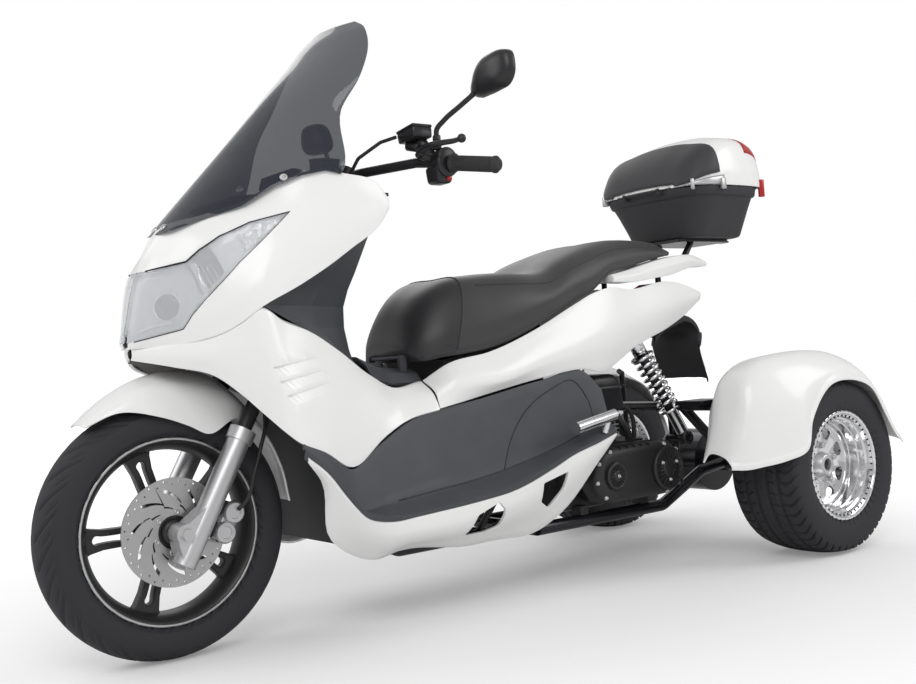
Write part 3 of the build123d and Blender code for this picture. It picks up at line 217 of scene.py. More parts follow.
class Graph:
    """The node tree of one material."""

    def __init__(self, name: str) -> None:
        """Start an empty material of that name."""
        self.material = bpy.data.materials.new(name)
        self.material.use_nodes = True
        self.tree = self.material.node_tree
        self.tree.nodes.clear()
        self.coordinates = self.node("ShaderNodeTexCoord", {}, {}, "Object")

    def node(self, kind: str, settings: dict[str, Any], values: dict[Any, Any],
             output: Any = 0) -> Value:
        """Add a node.

        Args:
            kind: Blender's node type.
            settings: Properties that are set first; "stops" fills a colour ramp.
            values: Input socket name or index to a number, a colour or a Value.
            output: Name or index of the output that is returned.

        Returns:
            The chosen output, wrapped.
        """
        made = self.tree.nodes.new(kind)
        for key, setting in settings.items():
            if key == "stops":
                elements = made.color_ramp.elements
                while len(elements) < len(setting):
                    elements.new(0.5)
                for element, (position, colour) in zip(elements, setting):
                    element.position = position
                    shade = colour if isinstance(colour, (tuple, list)) else (colour,) * 3
                    element.color = (*shade[:3], 1.0)
            else:
                setattr(made, key, setting)
        for key, value in values.items():
            if isinstance(value, Value):
                self.tree.links.new(value.socket, made.inputs[key])
            else:
                socket = made.inputs[key]
                if isinstance(value, (tuple, list)) and len(value) == 3 and socket.type == "RGBA":
                    value = (*value, 1.0)
                socket.default_value = value
        return Value(self, made.outputs[output])

    def noise(self, scale: float, detail: float = 2.0, stretch: Point = (1, 1, 1)) -> Value:
        """Noise in object space, stretched along the axes."""
        where = self.node("ShaderNodeMapping", {}, {"Vector": self.coordinates, "Scale": stretch})
        return self.node("ShaderNodeTexNoise", {},
                         {"Vector": where, "Scale": scale, "Detail": detail}, "Fac")

    def cells(self, scale: float, feature: str = "F1") -> Value:
        """Voronoi cell distance in object space."""
        return self.node("ShaderNodeTexVoronoi", {"feature": feature},
                         {"Vector": self.coordinates, "Scale": scale}, "Distance")

    def axis(self, name: str) -> Value:
        """One object coordinate."""
        return self.node("ShaderNodeSeparateXYZ", {}, {0: self.coordinates}, name)

    def mix(self, factor: Any, first: Any, second: Any) -> Value:
        """Mix two colours."""
        return self.node("ShaderNodeMix", {"data_type": "RGBA"},
                         {"Factor": factor, 6: first, 7: second}, 2)

    def bump(self, height: Value, distance: float, strength: float = 1.0) -> Value:
        """Bump that stands this many metres proud where height is 1."""
        return self.node("ShaderNodeBump", {},
                         {"Height": height, "Distance": distance, "Strength": strength})

    def surface(self, **sockets: Any) -> bpy.types.Material:
        """Finish with a Principled shader.

        Args:
            sockets: Principled inputs, with spaces written as underscores.

        Returns:
            The finished material.
        """
        shader = self.node("ShaderNodeBsdfPrincipled", {},
                           {key.replace("_", " "): value for key, value in sockets.items()})
        return self.output(shader)

    def output(self, shader: Value) -> bpy.types.Material:
        """Send a shader to the material's surface."""
        end = self.tree.nodes.new("ShaderNodeOutputMaterial")
        self.tree.links.new(shader.socket, end.inputs["Surface"])
        return self.material


# ---------------------------------------------------------------- finishes


@dataclass(frozen=True)
class Paint:
    """Gloss paint or moulded-in gloss colour under a clear coat."""

    name: str
    colour: Point
    roughness: float = 0.22
    coat: float = 1.0
    peel: float = 0.00004
    mottle: float = 0.02

    def make(self) -> bpy.types.Material:
        """Build the material."""
        graph = Graph(self.name)
        cloud = graph.noise(9.0, 3.0)
        dark = tuple(c * (1 - self.mottle) for c in self.colour)
        base = graph.mix(cloud, dark, self.colour)
        return graph.surface(Base_Color=base, Roughness=cloud * 0.06 + (self.roughness - 0.03),
                             Coat_Weight=self.coat, Coat_Roughness=0.04,
                             Normal=graph.bump(graph.noise(260.0, 1.0), self.peel))


@dataclass(frozen=True)
class Plastic:
    """Moulded plastic with a fine leathery grain."""

    name: str
    colour: Point
    roughness: float = 0.55
    grain: float = 0.00025
    cell: float = 900.0

    def make(self) -> bpy.types.Material:
        """Build the material."""
        graph = Graph(self.name)
        cloud = graph.noise(14.0, 4.0)
        lift = tuple(min(1.0, c * 1.5 + 0.004) for c in self.colour)
        base = graph.mix(cloud, self.colour, lift)
        height = graph.cells(self.cell) * 0.6 + graph.noise(self.cell * 1.4, 2.0) * 0.4
        return graph.surface(Base_Color=base, Roughness=cloud * 0.14 + (self.roughness - 0.07),
                             Specular_IOR_Level=0.42,
                             Normal=graph.bump(height, self.grain, 0.55))


@dataclass(frozen=True)
class Metal:
    """Metal, from rough cast to polished, with fine marks."""

    name: str
    colour: Point
    roughness: float = 0.3
    marks: float = 0.00008
    scale: float = 400.0
    stretch: Point = (1, 1, 1)
    stain: float = 0.12
    metallic: float = 1.0
    coat: float = 0.0

    def make(self) -> bpy.types.Material:
        """Build the material."""
        graph = Graph(self.name)
        cloud = graph.noise(22.0, 4.0)
        fine = graph.noise(self.scale, 3.0, self.stretch)
        dark = tuple(c * (1 - self.stain) for c in self.colour)
        base = graph.mix(cloud, dark, self.colour)
        return graph.surface(Base_Color=base, Metallic=self.metallic,
                             Roughness=fine * 0.12 + cloud * 0.08 + (self.roughness - 0.1),
                             Coat_Weight=self.coat, Coat_Roughness=0.08,
                             Normal=graph.bump(fine, self.marks))


@dataclass(frozen=True)
class Rubber:
    """Tyre and soft rubber: dull, dusty in patches."""

    name: str
    colour: Point
    roughness: float = 0.72
    dust: Point = (0.07, 0.068, 0.065)

    def make(self) -> bpy.types.Material:
        """Build the material."""
        graph = Graph(self.name)
        cloud = graph.noise(18.0, 5.0)
        fine = graph.noise(700.0, 2.0)
        base = graph.mix(cloud.ramp(((0.45, 0.0), (0.8, 0.35))), self.colour, self.dust)
        return graph.surface(Base_Color=base, Roughness=cloud * 0.18 + (self.roughness - 0.09),
                             Specular_IOR_Level=0.35, Normal=graph.bump(fine, 0.00015, 0.6))


@dataclass(frozen=True)
class Vinyl:
    """Seat vinyl with a pebbled grain and faint creases."""

    name: str
    colour: Point
    roughness: float = 0.46
    rear: Point | None = None
    seam: tuple[float, float] = (0.0, 0.0)

    def make(self) -> bpy.types.Material:
        """Build the material; a rear colour starts behind a slanted seam."""
        graph = Graph(self.name)
        cloud = graph.noise(11.0, 4.0)
        pebble = graph.cells(620.0, "SMOOTH_F1")
        crease = graph.noise(60.0, 3.0, (1, 2.2, 1))
        lift = tuple(c * 1.7 + 0.006 for c in self.colour)
        base = graph.mix(cloud * pebble, self.colour, lift)
        if self.rear:
            along, slant = self.seam
            behind = (graph.axis("X") * -1.0 - graph.axis("Z") * slant).above(along)
            side = graph.mix(cloud * pebble, self.rear, tuple(c * 1.35 for c in self.rear))
            base = graph.mix(behind, base, side)
        height = pebble * 0.7 + crease * 0.5
        return graph.surface(Base_Color=base, Roughness=cloud * 0.16 + (self.roughness - 0.08),
                             Sheen_Weight=0.08, Normal=graph.bump(height, 0.0004, 0.5))


@dataclass(frozen=True)
class Glass:
    """Clear or tinted plastic sheet."""

    name: str
    tint: Point
    through: float
    roughness: float = 0.04
    gloss_tint: Point = (0.02, 0.022, 0.03)

    def make(self) -> bpy.types.Material:
        """Build the material."""
        graph = Graph(self.name)
        wave = graph.noise(6.0, 2.0)
        clear = graph.node("ShaderNodeBsdfTransparent", {}, {"Color": self.tint})
        body = graph.node("ShaderNodeBsdfPrincipled", {}, {
            "Base Color": graph.mix(wave, self.gloss_tint, tuple(c * 1.3 for c in self.gloss_tint)),
            "Roughness": wave * 0.03 + self.roughness, "Coat Weight": 1.0, "Coat Roughness": 0.03})
        mixed = graph.node("ShaderNodeMixShader", {},
                           {0: wave * 0.04 + (1 - self.through), 1: clear, 2: body})
        return graph.output(mixed)


@dataclass(frozen=True)
class Disc:
    """Ground steel ring with fine circles about its axle."""

    name: str
    colour: Point
    centre: Point

    def make(self) -> bpy.types.Material:
        """Build the material."""
        graph = Graph(self.name)
        where = graph.node("ShaderNodeMapping", {"vector_type": "POINT"},
                           {"Vector": graph.coordinates,
                            "Location": tuple(-c for c in self.centre)})
        x = graph.node("ShaderNodeSeparateXYZ", {}, {0: where}, "X")
        z = graph.node("ShaderNodeSeparateXYZ", {}, {0: where}, "Z")
        radius = (x * x + z * z) ** 0.5
        rings = graph.node("ShaderNodeTexNoise", {"noise_dimensions": "1D"},
                           {"W": radius, "Scale": 2600.0, "Detail": 2.0}, "Fac")
        base = graph.mix(rings, tuple(c * 0.7 for c in self.colour), self.colour)
        return graph.surface(Base_Color=base, Metallic=1.0, Roughness=rings * 0.2 + 0.26,
                             Normal=graph.bump(rings, 0.00006))


class Finish(Enum):
    """Every finish on the trike, each made once when first asked for."""

    WHITE = Paint("white_gloss", (0.80, 0.80, 0.79))
    BLACK_GLOSS = Paint("black_gloss", (0.012, 0.012, 0.013), 0.2, 1.0, 0.00003, 0.2)
    TEXTURED = Plastic("black_textured", (0.030, 0.031, 0.034))
    DARK_GREY = Plastic("panel_grey", (0.050, 0.052, 0.058), 0.5)
    SATIN_BLACK = Plastic("satin_black", (0.016, 0.016, 0.018), 0.34, 0.00008)
    BROWN_BLACK = Plastic("duct_black", (0.030, 0.026, 0.024), 0.6)
    ENGINE = Metal("engine_black", (0.035, 0.035, 0.037), 0.42, 0.0003, 260.0, metallic=0.6)
    CAST = Metal("cast_silver", (0.56, 0.56, 0.57), 0.36, 0.00025, 300.0)
    POLISHED = Metal("polished_alloy", (0.78, 0.78, 0.79), 0.17, 0.00002, 500.0)
    CHROME = Metal("shock_chrome", (0.82, 0.82, 0.84), 0.13, 0.00001, 500.0, stain=0.05)
    STEEL = Metal("steel_axle", (0.60, 0.59, 0.57), 0.32, 0.00005, 500.0)
    ALLOY_BLACK = Metal("black_alloy", (0.028, 0.028, 0.030), 0.36, 0.0001, 420.0, metallic=0.35,
                        coat=0.35)
    DISC = Disc("disc_steel", (0.44, 0.44, 0.45), (X_FRONT, 0, FRONT_TYRE_R))
    TYRE = Rubber("tyre_rubber", (0.022, 0.022, 0.023))
    SOFT = Rubber("soft_rubber", (0.018, 0.018, 0.019), 0.6)
    VINYL = Vinyl("seat_vinyl", (0.022, 0.022, 0.025))
    SADDLE = Vinyl("saddle_vinyl", (0.018, 0.018, 0.020), 0.44, (0.036, 0.035, 0.035),
                   (SEAM_BEHIND * MM - X_FRONT - 0.6 * SEAM_SLANT, SEAM_SLANT))
    SMOKED = Glass("smoked_screen", (0.16, 0.18, 0.23), 0.07, 0.03, (0.014, 0.017, 0.028))
    LENS = Glass("lens", (0.93, 0.95, 0.98), 0.93, 0.03, (0.35, 0.37, 0.40))
    REFLECTOR = Metal("lamp_inner", (0.50, 0.53, 0.58), 0.24, 0.0004, 60.0)
    FACETS = Metal("lamp_facets", (0.86, 0.87, 0.88), 0.12, 0.006, 75.0)
    RED = Paint("red_lens", (0.42, 0.012, 0.012), 0.15)
    MIRROR = Metal("mirror_glass", (0.85, 0.86, 0.88), 0.1, 0.0, 100.0, stain=0.02)
    PALE = Paint("pale_marks", (0.75, 0.75, 0.76), 0.4)

    def material(self) -> bpy.types.Material:
        """The finish's material."""
        return bpy.data.materials.get(self.value.name) or self.value.make()


# ---------------------------------------------------------------- mesh helpers


def spline(points: Sequence[Vector], steps: int, sharp: Iterable[int] = ()) -> list[Vector]:
    """Sample a smooth curve that passes through the points.

    Args:
        points: Control points.
        steps: Samples per interval; every control point is hit.
        sharp: Indices of the points where the curve may turn a corner.

    Returns:
        (len(points) - 1) * steps + 1 points.
    """
    last = len(points) - 1
    corners = set(sharp) | {0, last}
    out = [points[0].copy()]
    for i in range(last):
        chord = points[i + 1] - points[i]
        size = chord.length or 1e-9
        slopes = []
        for end, before, after in ((i, i - 1, i + 1), (i + 1, i, i + 2)):
            if end in corners:
                slopes.append(chord)
                continue
            back = points[end] - points[before]
            ahead = points[after] - points[end]
            b, a = back.length or 1e-9, ahead.length or 1e-9
            slopes.append((back / b * a + ahead / a * b) / (a + b) * size)
        for step in range(1, steps + 1):
            t = step / steps
            t2, t3 = t * t, t * t * t
            out.append((2 * t3 - 3 * t2 + 1) * points[i] + (t3 - 2 * t2 + t) * slopes[0]
                       + (3 * t2 - 2 * t3) * points[i + 1] + (t3 - t2) * slopes[1])
    return out


def new_object(name: str, bm: Mesh, smooth: bool = True) -> Piece:
    """Turn a bmesh into an object at the origin.

    Args:
        name: Name of the piece.
        bm: The mesh, which is freed.
        smooth: Whether faces are shaded smooth.

    Returns:
        The new object.
    """
    mesh = bpy.data.meshes.new(name)
    bm.to_mesh(mesh)
    bm.free()
    for polygon in mesh.polygons:
        polygon.use_smooth = smooth
    made = bpy.data.objects.new(name, mesh)
    bpy.context.scene.collection.objects.link(made)
    return made


def outwards(bm: Mesh) -> None:
    """Merge doubles and point all faces out."""
    bmesh.ops.remove_doubles(bm, verts=bm.verts, dist=WELD)
    bmesh.ops.recalc_face_normals(bm, faces=bm.faces)


def face_along(bm: Mesh, axis: int) -> None:
    """Turn the faces of an open skin so that its furthest one along an axis looks that way."""
    bmesh.ops.recalc_face_normals(bm, faces=bm.faces)
    furthest = max(bm.faces, key=lambda f: f.calc_center_median()[axis])
    if furthest.normal[axis] < 0:
        bmesh.ops.reverse_faces(bm, faces=bm.faces)


def closed(bm: Mesh) -> Mesh:
    """Cap the open ends of a mesh and point its faces out."""
    outwards(bm)
    bmesh.ops.holes_fill(bm, edges=bm.edges)
    bmesh.ops.recalc_face_normals(bm, faces=bm.faces)
    return bm


def both_halves(half: list[Vector]) -> list[Vector]:
    """A left-hand line up to the middle plane, carried on as its mirror image."""
    return half + [Vector((p.x, -p.y, p.z)) for p in half[-2::-1]]


def grid(rows: Net) -> Mesh:
    """Shape a flat grid into the surface through rows of points.

    Args:
        rows: Rows of equally many points.

    Returns:
        The shaped grid.
    """
    bm = bmesh.new()
    along, across = len(rows) - 1, len(rows[0]) - 1
    bmesh.ops.create_grid(bm, x_segments=along, y_segments=across, size=1)
    for vert in bm.verts:
        i = round((vert.co.x + 1) / 2 * along)
        j = round((vert.co.y + 1) / 2 * across)
        vert.co = rows[i][j]
    return bm


def smooth_rows(rows: Net, along: int, across: int,
                sharp_rows: Iterable[int] = (), sharp: Iterable[int] = ()) -> Net:
    """Refine a net of control points both ways.

    Args:
        rows: The control net.
        along: Steps between rows.
        across: Steps between the points of a row.
        sharp_rows: Rows at which the surface may turn a corner.
        sharp: Points of a row at which it may turn a corner.

    Returns:
        The refined net.
    """
    fine = [spline(row, across, sharp) for row in rows]
    columns = [spline([row[j] for row in fine], along, sharp_rows) for j in range(len(fine[0]))]
    return [[column[i] for column in columns] for i in range(len(columns[0]))]


def thicken(piece: Piece, wall: float, edge: float = 0) -> None:
    """Give a skin a wall on its inner side and soften its rims.

    Args:
        piece: The skin, whose faces point outwards.
        wall: Wall thickness.
        edge: Width of the rounding along rims; 0 leaves them sharp.
    """
    solid = piece.modifiers.new("wall", "SOLIDIFY")
    solid.thickness = wall
    solid.offset = -1
    solid.use_even_offset = False
    if edge:
        rounded(piece, edge, RIM_ANGLE)


def rounded(piece: Piece, width: float, angle: float = 35, segments: int = 2) -> None:
    """Round edges that turn by more than the angle in degrees."""
    bevel = piece.modifiers.new("rounding", "BEVEL")
    bevel.width = width
    bevel.segments = segments
    bevel.limit_method = "ANGLE"
    bevel.angle_limit = math.radians(angle)
    bevel.harden_normals = False


def bake_modifiers(piece: Piece) -> None:
    """Apply a piece's modifiers to its mesh."""
    bpy.context.view_layer.update()
    evaluated = piece.evaluated_get(bpy.context.evaluated_depsgraph_get())
    mesh = bpy.data.meshes.new_from_object(evaluated)
    old = piece.data
    piece.modifiers.clear()
    piece.data = mesh
    mesh.name = piece.name
    bpy.data.meshes.remove(old)


def finish_piece(piece: Piece, body: str, finish: Finish,
                 replaces: Sequence[str] = ()) -> Piece:
    """Dress a piece and tie it to the frame.

    Args:
        piece: The finished mesh.
        body: CAD body that it rides on.
        finish: Its finish.
        replaces: CAD nodes that it stands for.

    Returns:
        The piece.
    """
    piece.data.materials.clear()
    piece.data.materials.append(finish.material())
    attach(piece, body)
    if replaces:
        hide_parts(*replaces)
    return piece


def finished(name: str, bm: Mesh, body: str, finish: Finish, replaces: Sequence[str] = ()) -> Piece:
    """Turn a bmesh into a dressed piece; see new_object and finish_piece."""
    return finish_piece(new_object(name, bm), body, finish, replaces)


def axes(x: Vector, y: Vector, z: Vector) -> Matrix:
    """Rotation whose local axes are the three given."""
    return Matrix((x, y, z)).transposed().to_4x4()


def placed(origin: Vector, direction: Vector) -> Matrix:
    """Matrix that puts local Z along the direction at the origin given, and local X level."""
    z = direction.normalized()
    x = UP.cross(z)
    if x.length < WELD:
        x = Vector((1, 0, 0)).cross(z)
    x.normalize()
    return Matrix.Translation(origin) @ axes(x, z.cross(x), z)


def add_turned(bm: Mesh, profile: Loop, matrix: Matrix,
               steps: int = 48) -> None:
    """Spin a profile round local Z and add it to a mesh.

    Args:
        bm: Mesh that receives it.
        profile: (radius, height) pairs in metres; a closed one repeats its first point.
        matrix: Placement of the local frame.
        steps: Segments round the axis.
    """
    part = bmesh.new()
    verts = [part.verts.new((radius, 0, height)) for radius, height in profile]
    edges = [part.edges.new(pair) for pair in zip(verts, verts[1:])]
    bmesh.ops.spin(part, geom=verts + edges, axis=(0, 0, 1), cent=(0, 0, 0), angle=math.tau,
                   steps=steps, use_merge=True, use_duplicate=False)
    outwards(part)
    bmesh.ops.transform(part, matrix=matrix, verts=part.verts)
    join(bm, part)


def add_turned_mm(bm: Mesh, profile: Loop, matrix: Matrix, steps: int = 48) -> None:
    """Spin a profile given in millimetres; see add_turned."""
    add_turned(bm, in_metres(profile), matrix, steps)


def join(bm: Mesh, part: Mesh) -> None:
    """Move a part's mesh into another and free it."""
    temporary = bpy.data.meshes.new("joined")
    part.to_mesh(temporary)
    part.free()
    bm.from_mesh(temporary)
    bpy.data.meshes.remove(temporary)


def add_block(bm: Mesh, size: Point, matrix: Matrix, bevel: float = 0.001,
              taper: float = 1.0, segments: int = 2) -> None:
    """Add a bevelled block, centred on its local origin.

    Args:
        bm: Mesh that receives it.
        size: Full lengths along local X, Y and Z.
        matrix: Placement.
        bevel: Width of the rounding.
        taper: Scale of the local top against the bottom.
        segments: Segments of the rounding.
    """
    part = bmesh.new()
    bmesh.ops.create_cube(part, size=1)
    bmesh.ops.scale(part, vec=size, verts=part.verts)
    for vert in part.verts:
        if vert.co.z > 0:
            vert.co.x *= taper
            vert.co.y *= taper
    if bevel:
        bmesh.ops.bevel(part, geom=part.edges[:], offset=bevel, segments=segments, profile=0.5,
                        affect="EDGES", material=-1)
    bmesh.ops.transform(part, matrix=matrix, verts=part.verts)
    join(bm, part)


def add_rod(bm: Mesh, start: Vector, end: Vector, radius: float) -> None:
    """Add a round bar with softened ends between two points."""
    length = (end - start).length
    soft = min(radius * 0.25, length * 0.2, 0.0015)
    add_turned(bm, [(0, 0), (radius - soft, 0), (radius, soft), (radius, length - soft),
                    (radius - soft, length), (0, length)], placed(start, end - start), 20)


def add_bolt(bm: Mesh, where: Vector, outward: Vector, radius: float = 0.005,
             height: float = 0.003) -> None:
    """Add a domed bolt head with a socket."""
    hole, sunk = radius * 0.45, -0.001
    add_turned(bm, [(0, height * 0.4), (hole, height * 0.4), (hole, height),
                    (radius * 0.75, height), (radius, height * 0.35), (radius, sunk), (0, sunk)],
               placed(where, outward), 12)


def add_tube(bm: Mesh, path: Sequence[Vector], radius: float | Callable[[float], float],
             steps: int = 12) -> None:
    """Add a round tube with capped ends along a path.

    Args:
        bm: Mesh that receives it.
        path: Points of the centre line.
        radius: Radius, or a function of the share of the way along.
        steps: Segments round it.
    """
    part = bmesh.new()
    normal = UP
    rings = []
    for i, point in enumerate(path):
        tangent = (path[min(i + 1, len(path) - 1)] - path[max(i - 1, 0)]).normalized()
        side = normal.cross(tangent)
        if side.length < 1e-4:
            side = Vector((1, 0, 0)).cross(tangent)
        side.normalize()
        normal = tangent.cross(side)
        r = radius(i / (len(path) - 1)) if callable(radius) else radius
        frame = Matrix.Translation(point) @ axes(side, normal, tangent)
        made = bmesh.ops.create_circle(part, segments=steps, radius=r, cap_ends=False, matrix=frame)
        rings.append(made["verts"])
    for before, after in zip(rings, rings[1:]):
        for k in range(steps):
            part.faces.new((before[k], before[(k + 1) % steps], after[(k + 1) % steps], after[k]))
    part.faces.new(rings[0][::-1])
    part.faces.new(rings[-1])
    outwards(part)
    join(bm, part)


def mirrored(bm: Mesh) -> Mesh:
    """Add the mirror image across the vehicle's middle plane."""
    copy = bm.copy()
    bmesh.ops.scale(copy, vec=(1, -1, 1), verts=copy.verts)
    bmesh.ops.reverse_faces(copy, faces=copy.faces)
    join(bm, copy)
    return bm


def flipped(bm: Mesh, side: int) -> Mesh:
    """Mirror a left-hand mesh for the right-hand side."""
    if side < 0:
        bmesh.ops.scale(bm, vec=(1, -1, 1), verts=bm.verts)
        bmesh.ops.reverse_faces(bm, faces=bm.faces)
    return bm


def outline_prism(outline: Loop, low: float, high: float, round_off: float = 0.0) -> Mesh:
    """Make a prism square to the middle plane from an outline in millimetres.

    Args:
        outline: Pairs of a station behind the front axle and a height.
        low: Where the prism starts along Y, in millimetres.
        high: Where it ends.
        round_off: Rounding of its edges along Y, in metres.

    Returns:
        The closed prism.
    """
    bm = bmesh.new()
    face = bm.faces.new([bm.verts.new(place(behind, low, z)) for behind, z in outline])
    extruded = bmesh.ops.extrude_face_region(bm, geom=[face])
    moved = [g for g in extruded["geom"] if isinstance(g, bmesh.types.BMVert)]
    bmesh.ops.translate(bm, vec=(0, (high - low) * MM, 0), verts=moved)
    outwards(bm)
    if round_off:
        along = [e for e in bm.edges
                 if abs((e.verts[0].co - e.verts[1].co).normalized().y) > 0.99]
        bmesh.ops.bevel(bm, geom=along, offset=round_off, segments=4, profile=0.5,
                        affect="EDGES", material=-1)
    return bm


def carve(piece: Piece, cutter: Mesh, operation: str = "DIFFERENCE") -> None:
    """Cut a closed piece by a closed cutter and keep the result as its mesh."""
    tool = new_object("cutter", cutter, False)
    modifier = piece.modifiers.new("cut", "BOOLEAN")
    modifier.operation = operation
    modifier.object = tool
    modifier.solver = "EXACT"
    bake_modifiers(piece)
    mesh = tool.data
    bpy.data.objects.remove(tool)
    bpy.data.meshes.remove(mesh)


# ---------------------------------------------------------------- studio


@dataclass
class Studio:
    """Camera, lamps, floor and world."""

    eye: Point = (1.7255, 2.21075, 0.5843)
    yaw: float = -37.42
    pitch: float = 0.56
    roll: float = -3.75
    lens: float = 44.14
    world_light: float = 0.5
    floor_half: float = 14.0
    floor_fade: float = 12.0
    floor_grey: Point = (0.84, 0.84, 0.84)
    lamps: tuple[tuple[Point, Point, float, float], ...] = (
        ((2.6, 3.4, 3.4), (0.0, 0.0, 0.5), 2.6, 74.0),
        ((-2.8, 3.0, 2.6), (-0.4, 0.0, 0.4), 2.2, 42.0),
        ((3.4, -2.0, 2.4), (0.4, 0.0, 0.5), 2.4, 34.0),
        ((-1.5, -3.2, 3.0), (-0.4, 0.0, 0.5), 2.6, 32.0),
    )

    def build(self) -> None:
        """Make everything."""
        self._camera()
        self._world()
        self._floor()
        for index, (where, aim, size, power) in enumerate(self.lamps):
            self._lamp(index, Vector(where), Vector(aim), size, power)

    def _camera(self) -> None:
        """Camera at the product view."""
        data = bpy.data.cameras.new("camera")
        data.lens = self.lens
        data.sensor_width = 36
        data.sensor_fit = "HORIZONTAL"
        camera = bpy.data.objects.new("camera", data)
        yaw, pitch, roll = (math.radians(a) for a in (self.yaw, self.pitch, self.roll))
        level = math.cos(pitch)
        ahead = Vector((math.sin(yaw) * level, -math.cos(yaw) * level, math.sin(pitch)))
        right = ahead.cross(UP).normalized()
        up = right.cross(ahead)
        right, up = (right * math.cos(roll) + up * math.sin(roll),
                     up * math.cos(roll) - right * math.sin(roll))
        camera.matrix_world = Matrix.Translation(self.eye) @ axes(right, up, -ahead)
        bpy.context.scene.collection.objects.link(camera)
        bpy.context.scene.camera = camera
        bpy.context.scene.view_settings.view_transform = "Standard"

    def _world(self) -> None:
        """White to the camera and through glass, softer as a light."""
        world = bpy.data.worlds.new("studio")
        bpy.context.scene.world = world
        world.use_nodes = True
        tree = world.node_tree
        path = tree.nodes.new("ShaderNodeLightPath")
        seen = tree.nodes.new("ShaderNodeMath")
        seen.operation = "MAXIMUM"
        tree.links.new(path.outputs["Is Camera Ray"], seen.inputs[0])
        tree.links.new(path.outputs["Is Transmission Ray"], seen.inputs[1])
        strength = tree.nodes.new("ShaderNodeMapRange")
        strength.inputs["To Min"].default_value = self.world_light
        strength.inputs["To Max"].default_value = 1.0
        tree.links.new(seen.outputs[0], strength.inputs["Value"])
        background = tree.nodes["Background"]
        background.inputs["Color"].default_value = (1, 1, 1, 1)
        tree.links.new(strength.outputs[0], background.inputs["Strength"])

    def _floor(self) -> None:
        """Pale floor that catches the shadow; to camera rays it also glows with painted light,
        faint near the middle and white far out.
        """
        bm = bmesh.new()
        bmesh.ops.create_grid(bm, x_segments=1, y_segments=1, size=self.floor_half)
        floor = new_object("studio_floor", bm, False)
        graph = Graph("studio_floor")
        x, y = graph.axis("X"), graph.axis("Y")
        far = (x * x + y * y) ** 0.5 / self.floor_fade
        seen = graph.node("ShaderNodeLightPath", {}, {}, "Is Camera Ray")
        # painted light: a glow seen only by the camera, faint near the middle and rising to white
        # far out
        painted_glow = far.ramp(((0.05, 0.16), (0.45, 0.75), (0.8, 1.0)))
        floor.data.materials.append(graph.surface(
            Base_Color=self.floor_grey, Roughness=0.9, Emission_Strength=1.0,
            Emission_Color=graph.mix(seen, (0, 0, 0), painted_glow)))
        floor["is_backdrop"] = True

    def _lamp(self, index: int, where: Vector, aim: Vector, size: float, power: float) -> None:
        """Add one square soft lamp."""
        data = bpy.data.lights.new(f"lamp_{index}", "AREA")
        data.size = size
        data.energy = power
        lamp = bpy.data.objects.new(f"lamp_{index}", data)
        lamp.location = where
        lamp.rotation_euler = (aim - where).to_track_quat("-Z", "Y").to_euler()
        bpy.context.scene.collection.objects.link(lamp)


NODE_FINISH = {
    "frame_tubes": Finish.BLACK_GLOSS, "arch_roof": Finish.BROWN_BLACK,
    "splash_guard": Finish.TEXTURED,
    "lamp_housing": Finish.REFLECTOR, "leg_shield": Finish.DARK_GREY, "dash_panel": Finish.TEXTURED,
    "instrument_cluster": Finish.TEXTURED, "tunnel_cover": Finish.DARK_GREY,
    "storage_tub": Finish.TEXTURED, "case_rack": Finish.BLACK_GLOSS, "engine_block": Finish.ENGINE,
    "muffler": Finish.ALLOY_BLACK, "axle_carrier": Finish.BLACK_GLOSS,
    "passenger_pegs": Finish.CHROME, "fork_yoke": Finish.ALLOY_BLACK, "fork_legs": Finish.CAST,
    "front_axle": Finish.STEEL, "handlebar": Finish.SATIN_BLACK, "control_cables": Finish.SOFT,
}


def dress_nodes(nodes: dict[str, Piece]) -> None:
    """Give each CAD node that stays its finish."""
    for name, finish in NODE_FINISH.items():
        materials = nodes[name].data.materials
        materials.clear()
        materials.append(finish.material())


# ---------------------------------------------------------------- bodywork


@dataclass
class Panel:
    """One smooth moulded panel, laid through sections square to the vehicle's length."""

    rows: Rows
    wall: float = 0.0065
    along: int = 6
    across: int = 6
    sharp: tuple[int, ...] = ()
    sharp_rows: tuple[int, ...] = ()

    def net(self, side: int = 1) -> Net:
        """Refined points of the skin of one side, 1 for the left and -1 for the right."""
        rows = [[place(behind, side * y, z) for y, z in points] for behind, points in self.rows]
        return smooth_rows(rows, self.along, self.across, self.sharp_rows, self.sharp)

    def skin(self, name: str, side: int = 1) -> Piece:
        """Make the panel of one side with its wall."""
        bm = grid(self.net())
        face_along(bm, 1)
        piece = new_object(name, flipped(bm, side))
        thicken(piece, self.wall)
        return piece


COWL = Panel((
    (-60, ((16, 634), (22, 642), (22, 655), (12, 664), (0, 667))),
    (-26, ((62, 635), (76, 652), (70, 722), (44, 782), (0, 791))),
    (20, ((128, 638), (136, 664), (132, 735), (112, 798), (0, 873))),
    (83, ((190, 659), (192, 705), (184, 765), (180, 846), (110, 898))),
    (140, ((229, 702), (224, 760), (206, 820), (199, 872), (145, 917))),
    (220, ((236, 741), (236, 800), (226, 860), (214, 896), (190, 960))),
    (300, ((238, 786), (240, 840), (236, 890), (228, 935), (220, 981))),
    (345, ((239, 815), (242, 860), (240, 905), (236, 945), (229, 973))),
    (420, ((240, 866), (241, 885), (241, 905), (240, 930), (235, 956))),
    (446, ((239, 900), (240, 906), (240, 912), (239, 918), (237, 924))),
))
LAMP_OUTLINE = (
    (-90, 654), (-61, 646), (13, 666), (27, 693), (48, 721), (111, 792), (221, 893),
    (136, 871), (79, 845), (48, 821), (29, 800), (-18, 787), (-26, 790), (-90, 790),
)
